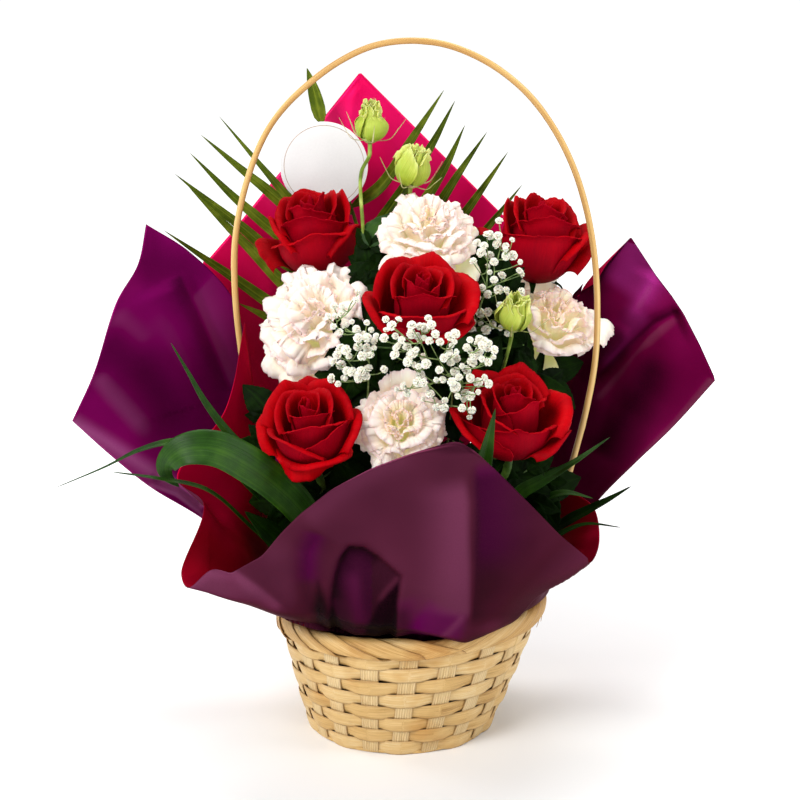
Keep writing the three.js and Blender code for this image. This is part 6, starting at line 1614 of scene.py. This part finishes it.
# ---------------------------------------------------------------- palm frond
soup = Soup()
rp = rooted(-14, 46, RACHIS[0], 40) + [np.array(p, float) for p in RACHIS]
tube(soup, rp, [1.9, 1.85, 1.6, 1.3, 0.9], 10, 60, 0, 0.05, 4, u=0.3, v=0.4, tone=0.7)
for k, pts in enumerate(LEAFLETS):
    rngp = np.random.default_rng(300 + k)
    w = 10.0 if k < 8 else 8.6
    blade(soup, pts, [1.8, w * 0.86, w, w * 0.96, w * 0.86, w * 0.72, w * 0.54, w * 0.30, 0.3], [0.05, -1, 0.25], 40, 0, rngp.uniform(0.3, 0.75), 0.42, 9, 0.0,
          rngp.uniform(-0.35, 0.35), k, 0.35)
soup.make("palm_frond_leaflets", [palm_mat], ["palm_frond"])

# ---------------------------------------------------------------- leaves
# the darker finish on the lower right and filler leaves is painted shade
LEAF_LOOK = {
    "leaf_arched": (leaf_mat, [2.4, 2.4, 8, 17, 23, 25, 23, 17, 9, 1.2], 0.10, 0.0),
    "leaf_upright_left": (leaf_mat, [2.4, 2.4, 4, 6.5, 7, 5, 2.6, 0.5], 0.45, 0.5),
    "leaf_long_left": (leaf_mat, [2.4, 2.4, 4, 5.5, 7, 6.4, 4, 1.6, 0.4], 0.4, 0.3),
    "leaf_low_left": (leaf_mat, [2.4, 2.4, 3.6, 4.4, 4.6, 3.4, 0.6], 0.35, 0.6),
    "leaf_front": (leaf_mat, [2.4, 2.4, 7, 13, 14, 9, 0.6], 0.4, 0.0),
    "leaf_right_1": (leaf_mat, [2.4, 2.4, 4, 8, 11, 9, 4, 0.6], 0.35, 0.2),
    "leaf_right_2": (leaf_mat, [2.4, 2.4, 4, 7, 7.6, 5, 0.6], 0.35, 0.3),
    "leaf_right_3": (leaf_painted_shade, [2.4, 2.4, 4, 7, 8.4, 5, 0.6], 0.35, 0.2),
    "leaf_right_4": (leaf_painted_shade, [2.4, 2.4, 4, 6.6, 6, 3, 0.5], 0.35, 0.3),
    "leaf_filler_left": (leaf_painted_shade, [2.4, 2.4, 8, 16, 20, 14, 1.0], 0.3, 0.0),
    "leaf_filler_centre": (leaf_painted_shade, [2.4, 2.4, 6, 13, 16, 11, 1.0], 0.3, 0.0),
    "leaf_filler_right": (leaf_painted_shade, [2.4, 2.4, 7, 13, 14, 9, 1.0], 0.3, 0.0),
}
for i, (name, L) in enumerate(LEAVES.items()):
    mat, sizes, fold, tw = LEAF_LOOK[name]
    soup = Soup()
    root = rooted(L["slot"][0], L["slot"][1], L["pts"][0], 13)
    pts = root + [np.array(p, float) for p in L["pts"]]
    blade(soup, pts, sizes, L["facing"], 64, 0, 0.5, fold, 13, 0.02, tw * 0.0, i, 0.5)
    soup.make(name + "_blade", [mat], [name])

# ---------------------------------------------------------------- gypsophila
gyp_white = Mat("gypsophila_petal", Roughness=0.6, Subsurface_Weight=0.15, Subsurface_Scale=0.002)
gv = gyp_white.attr("v")
gn = gyp_white.noise(900, detail=2)
gyp_white.base(gyp_white.ramp(gyp_white.math("ADD", gyp_white.math("MULTIPLY", gv, 0.7), gyp_white.math("MULTIPLY", gn, 0.3)),
               (0.12, (150, 160, 100)), (0.34, (222, 216, 192)), (0.72, (250, 246, 232))))
gyp_white.bump(gn, 0.3, 0.0003)
gyp_green = Mat("gypsophila_stalk", Roughness=0.5)
gg = gyp_green.noise(300, detail=3)
gyp_green.base(gyp_green.ramp(gg, (0.35, (74, 102, 46)), (0.65, (142, 164, 96))))
gyp_green.bump(gg, 0.3, 0.0004)


def puff(soup, c, axis, r, rng):
    """A tiny double flower: rings of small cupped petals round its axis."""
    fr = frame_of(axis)
    c = np.asarray(c, float)
    for ring_, (n, el, ln) in enumerate(((6, -0.05, 1.0), (6, 0.45, 0.98), (4, 0.95, 0.92), (3, 1.35, 0.8))):
        for k in range(n):
            a = 2 * PI * k / n + ring_ * 0.5 + rng.uniform(-0.25, 0.25)
            e = el + rng.uniform(-0.15, 0.15)
            d = np.array([math.cos(a) * math.cos(e), math.sin(a) * math.cos(e), math.sin(e)])
            s = np.array([-math.sin(a), math.cos(a), 0])
            up = np.cross(d, s)
            t = np.array([0.0, 0.45, 0.85, 1.0])
            w = np.array([0.10, 0.30, 0.42, 0.24])
            q = np.array([-1.0, 0.0, 1.0])
            G = (d * (t * ln)[:, None, None] + s * (q[None] * w[:, None])[..., None]
                 - up * ((0.14 * q**2)[None] * 1.0 + (0.18 * t**2)[:, None] * (-1.0) + rng.uniform(-0.05, 0.05, (4, 3)))[..., None])
            W = c + (G * r) @ fr
            v, f = slab(W, 0.09 * r)
            soup.add(v, f, 1, v=np.tile(np.repeat(t, 3), 2))
    # calyx
    v, f = rings_skin(c + (np.array([[[q_ * math.cos(b), q_ * math.sin(b), z_] for b in np.linspace(0, 2 * PI, 6, endpoint=False)] for q_, z_ in ((0.10, -0.62), (0.26, -0.35), (0.30, 0.02))]) * r) @ fr)
    soup.add(v, f, 0)


def spray(name, seed, extra):
    G = GYPS[name]
    rng = np.random.default_rng(seed)
    soup = Soup()
    root = rooted(G["slot"][0], G["slot"][1], G["way"][0], 30)
    pts = root + [np.array(w, float) for w in G["way"]] + [np.array(G["knot"], float)]
    C, T = tube(soup, pts, [0.85, 0.8, 0.62, 0.5], 8, 60, 0)
    knot = np.array(G["knot"], float)
    heads = [np.array(p[:3], float) for p in G["puffs"]] + [np.array(p, float) for p in extra]
    joints = [knot] + [C[int(j)] for j in (44, 50, 55)]
    placed = []
    for i, h in enumerate(heads):
        # branch from the nearest earlier twig or joint that lies below the head
        best, cost = knot, 1e9
        for j in joints + placed:
            d = np.linalg.norm(h - j)
            if j[2] < h[2] - 1.0 or d > 14:
                cc = d + (18 if j[2] > h[2] - 2 else 0)
                if cc < cost:
                    best, cost = j, cc
        m = best * 0.5 + h * 0.5 + np.array([rng.uniform(-2, 2), rng.uniform(-1, 2.5), -1.5])
        tube(soup, [best, m, h - np.array([0, 0, 1.2])], [0.42, 0.34, 0.28], 6, 8, 0)
        placed.append(best * 0.45 + h * 0.55 + (m - (best + h) / 2) * 0.8)
        r = rng.uniform(2.4, 3.6) if i < len(G["puffs"]) else rng.uniform(1.8, 3.3)
        ax = unit((h - m) + np.array([0, -6.0, 2.0]) + rng.normal(0, 2.5, 3))
        puff(soup, h, ax, r, rng)
    return soup.make(name + "_spray", [gyp_green.m, gyp_white.m], [name])


def seen_at(pixels, depths):
    return [unpix(u, v, y) for (u, v), y in zip(pixels, depths)]


rg = np.random.default_rng(17)
cloud = {"gypsophila_1": [], "gypsophila_2": [], "gypsophila_3": []}
CLOUD = [
    ("gypsophila_1", -88, [(352, 322), (340, 332), (358, 338), (346, 350), (334, 362), (362, 356), (374, 348), (352, 372), (338, 384), (366, 376), (328, 316), (371, 330), (356, 300), (342, 306)]),
    ("gypsophila_2", -106, [(412, 326), (431, 325), (424, 338), (440, 342), (416, 350), (408, 362), (426, 364), (444, 358), (456, 352), (462, 366), (474, 356), (482, 346), (470, 340), (455, 334),
                            (488, 362), (470, 378), (484, 378), (452, 382), (436, 380), (418, 382), (402, 340), (395, 355), (384, 338), (392, 326), (404, 386), (494, 350), (458, 396), (444, 408), (472, 410), (430, 394), (478, 392), (462, 408)]),
    ("gypsophila_3", -34, [(470, 300), (482, 288), (494, 280), (506, 290), (488, 312), (474, 322), (500, 306), (512, 316), (516, 300), (462, 288), (452, 300), (456, 316), (494, 262), (506, 256), (484, 246), (512, 240),
                           (498, 236), (520, 262), (466, 312), (486, 330), (500, 328)]),
]
for nm, y, px in CLOUD:
    for (u, v) in px:
        cloud[nm].append(unpix(u, v, y + rg.uniform(-5, 5)))
        a_, d_ = rg.uniform(0, 6.28), rg.uniform(6.5, 9.5)
        cloud[nm].append(unpix(u + d_ * math.cos(a_), v + d_ * math.sin(a_), y + rg.uniform(-2, 10)))
        if rg.uniform() < 0.6:
            cloud[nm].append(unpix(u - d_ * math.sin(a_), v + d_ * math.cos(a_), y + rg.uniform(2, 14)))
for i, nm in enumerate(cloud):
    spray(nm, 210 + i, cloud[nm])

# ---------------------------------------------------------------- card and pick
card_mat = Mat("card_stock", Roughness=0.55)
cn = card_mat.noise(700, detail=4)
cb = card_mat.noise(24, detail=2)
card_mat.base(card_mat.ramp(card_mat.math("ADD", card_mat.math("MULTIPLY", cn, 0.3), card_mat.math("MULTIPLY", cb, 0.7)), (0.3, (214, 213, 213)), (0.7, (224, 223, 223))))
card_mat.bump(cn, 0.15, 0.0003)
foil = Mat("card_ring", Roughness=0.42, Metallic=0.35)
fn = foil.noise(500, detail=3)
foil.base(foil.ramp(fn, (0.3, (150, 120, 100)), (0.7, (184, 156, 134))))
foil.rough(foil.span(fn, 0.3, 0.7, 0.36, 0.5))
soup = Soup()
fr = frame_of([0.06, -1, 0.12])
cc = np.array([-52.8, 75, 377.8])
a = np.linspace(0, 2 * PI, 160, endpoint=False)


def disc(profile):
    R = []
    for r, z in profile:
        bend = 0.35 * (r / 30.5) ** 2 * np.cos(2 * a + 0.6)
        R.append(np.stack([r * np.cos(a), r * np.sin(a), 0 * a + z + bend], -1))
    return cc + np.array(R) @ fr


v, f = rings_skin(disc([(0.2, -0.32), (10, -0.32), (20, -0.32), (30.1, -0.32), (30.45, -0.2), (30.5, 0.0), (30.45, 0.2), (30.1, 0.32), (20, 0.32), (10, 0.32), (0.2, 0.32)]))
soup.add(v, f, 0)
v, f = rings_skin(disc([(27.6, 0.30), (27.62, 0.37), (28.0, 0.39), (28.02, 0.30)]), cap=False)
b = len(a)
k = np.arange(b)
close = np.stack([3 * b + k, 3 * b + (k + 1) % b, (k + 1) % b, k], -1)
soup.add(v, (f[0], close), 1)
soup.make("round_card", [card_mat.m, foil.m], ["card"])

wood = Mat("pick_wood", Roughness=0.6)
wn = wood.noise(1.0, wood.coord((400, 400, 30)), 4, 0.6)
wood.base(wood.ramp(wn, (0.3, (168, 136, 88)), (0.7, (222, 198, 152))))
wood.bump(wn, 0.4, 0.0004)
soup = Soup()
pk = rooted(-32, 32, [-40, 52, 190], 40) + [np.array(p, float) for p in ([-40, 52, 190], [-47, 66, 254], [-50, 75, 304], [-52.4, 76.6, 345], [-52.6, 77.4, 372])]
tube(soup, pk, [0.5, 1.1, 1.1, 1.1, 1.1, 1.0], 10, 60, 0, 0.06, 3)
soup.make("card_pick_stick", [wood.m], ["card_pick"])

# ---------------------------------------------------------------- floor, light and camera
floor_mat = Mat("studio_floor", Roughness=0.7, Specular_IOR_Level=0.2, Base_Color=(0.86, 0.86, 0.86, 1.0))
geo = floor_mat.new("ShaderNodeNewGeometry").outputs["Position"]
away = floor_mat.new("ShaderNodeVectorMath", operation="LENGTH")
floor_mat.put(away.inputs[0], geo)
glow = floor_mat.span(away.outputs["Value"], 0.16, 1.1, 0.0, 1.0)
floor_mat.b.inputs["Emission Color"].default_value = (1.0, 1.0, 1.0, 1.0)
floor_mat.put(floor_mat.b.inputs["Emission Strength"], floor_mat.math("ADD", 0.06, floor_mat.math("MULTIPLY", glow, 0.86)))
bm_v, bm_f = [], []
S = 24
for i in range(S + 1):
    for j in range(S + 1):
        bm_v.append((-6 + 12 * i / S, -6 + 12 * j / S, -0.0002))
for i in range(S):
    for j in range(S):
        a = i * (S + 1) + j
        bm_f.append((a, a + S + 1, a + S + 2, a + 1))
me = bpy.data.meshes.new("studio_floor")
me.from_pydata(bm_v, [], bm_f)
me.materials.append(floor_mat.m)
floor = bpy.data.objects.new("studio_floor", me)
scene.collection.objects.link(floor)

world = bpy.data.worlds.new("studio")
scene.world = world
world.use_nodes = True
wt = world.node_tree
back = wt.nodes["Background"]
back.inputs["Color"].default_value = (1.0, 1.0, 1.0, 1.0)
back.inputs["Strength"].default_value = 0.27
seen = wt.nodes.new("ShaderNodeBackground")
seen.inputs["Strength"].default_value = 1.05
path = wt.nodes.new("ShaderNodeLightPath")
pick = wt.nodes.new("ShaderNodeMixShader")
wt.links.new(path.outputs["Is Camera Ray"], pick.inputs[0])
wt.links.new(back.outputs[0], pick.inputs[1])
wt.links.new(seen.outputs[0], pick.inputs[2])
wt.links.new(pick.outputs[0], wt.nodes["World Output"].inputs["Surface"])
seen.inputs["Color"].default_value = (1.0, 1.0, 1.0, 1.0)


def area_light(name, loc, target, size, power, colour=(1, 1, 1), shape="RECTANGLE"):
    d = bpy.data.lights.new(name, "AREA")
    d.shape = shape
    d.size, d.size_y = size
    d.energy = power
    d.color = colour
    o = bpy.data.objects.new(name, d)
    scene.collection.objects.link(o)
    o.location = loc
    o.rotation_euler = (Vector(target) - Vector(loc)).to_track_quat("-Z", "Y").to_euler()
    return o


area_light("key", (-0.85, -1.25, 1.35), (0, 0, 0.25), (0.7, 0.9), 29)
area_light("fill", (1.35, -0.55, 0.95), (0, 0, 0.24), (0.5, 1.0), 9.5)
area_light("top", (0.05, 0.30, 1.55), (0, 0, 0.2), (1.1, 0.7), 13)
area_light("rear_left", (-1.3, 0.55, 0.75), (0, 0, 0.3), (0.5, 1.0), 7)

cam_data = bpy.data.cameras.new("camera")
cam = bpy.data.objects.new("camera", cam_data)
scene.collection.objects.link(cam)
cam.location = (0.0, -1.150, 0.500)
cam.rotation_euler = (math.radians(90 - 13.3), 0, 0)
cam_data.sensor_width = 36.0
cam_data.lens = 36.0 * FOCAL / 800.0
cam_data.clip_start, cam_data.clip_end = 0.02, 60.0
scene.camera = cam
scene.view_settings.view_transform = "Standard"
scene.view_settings.look = "None"
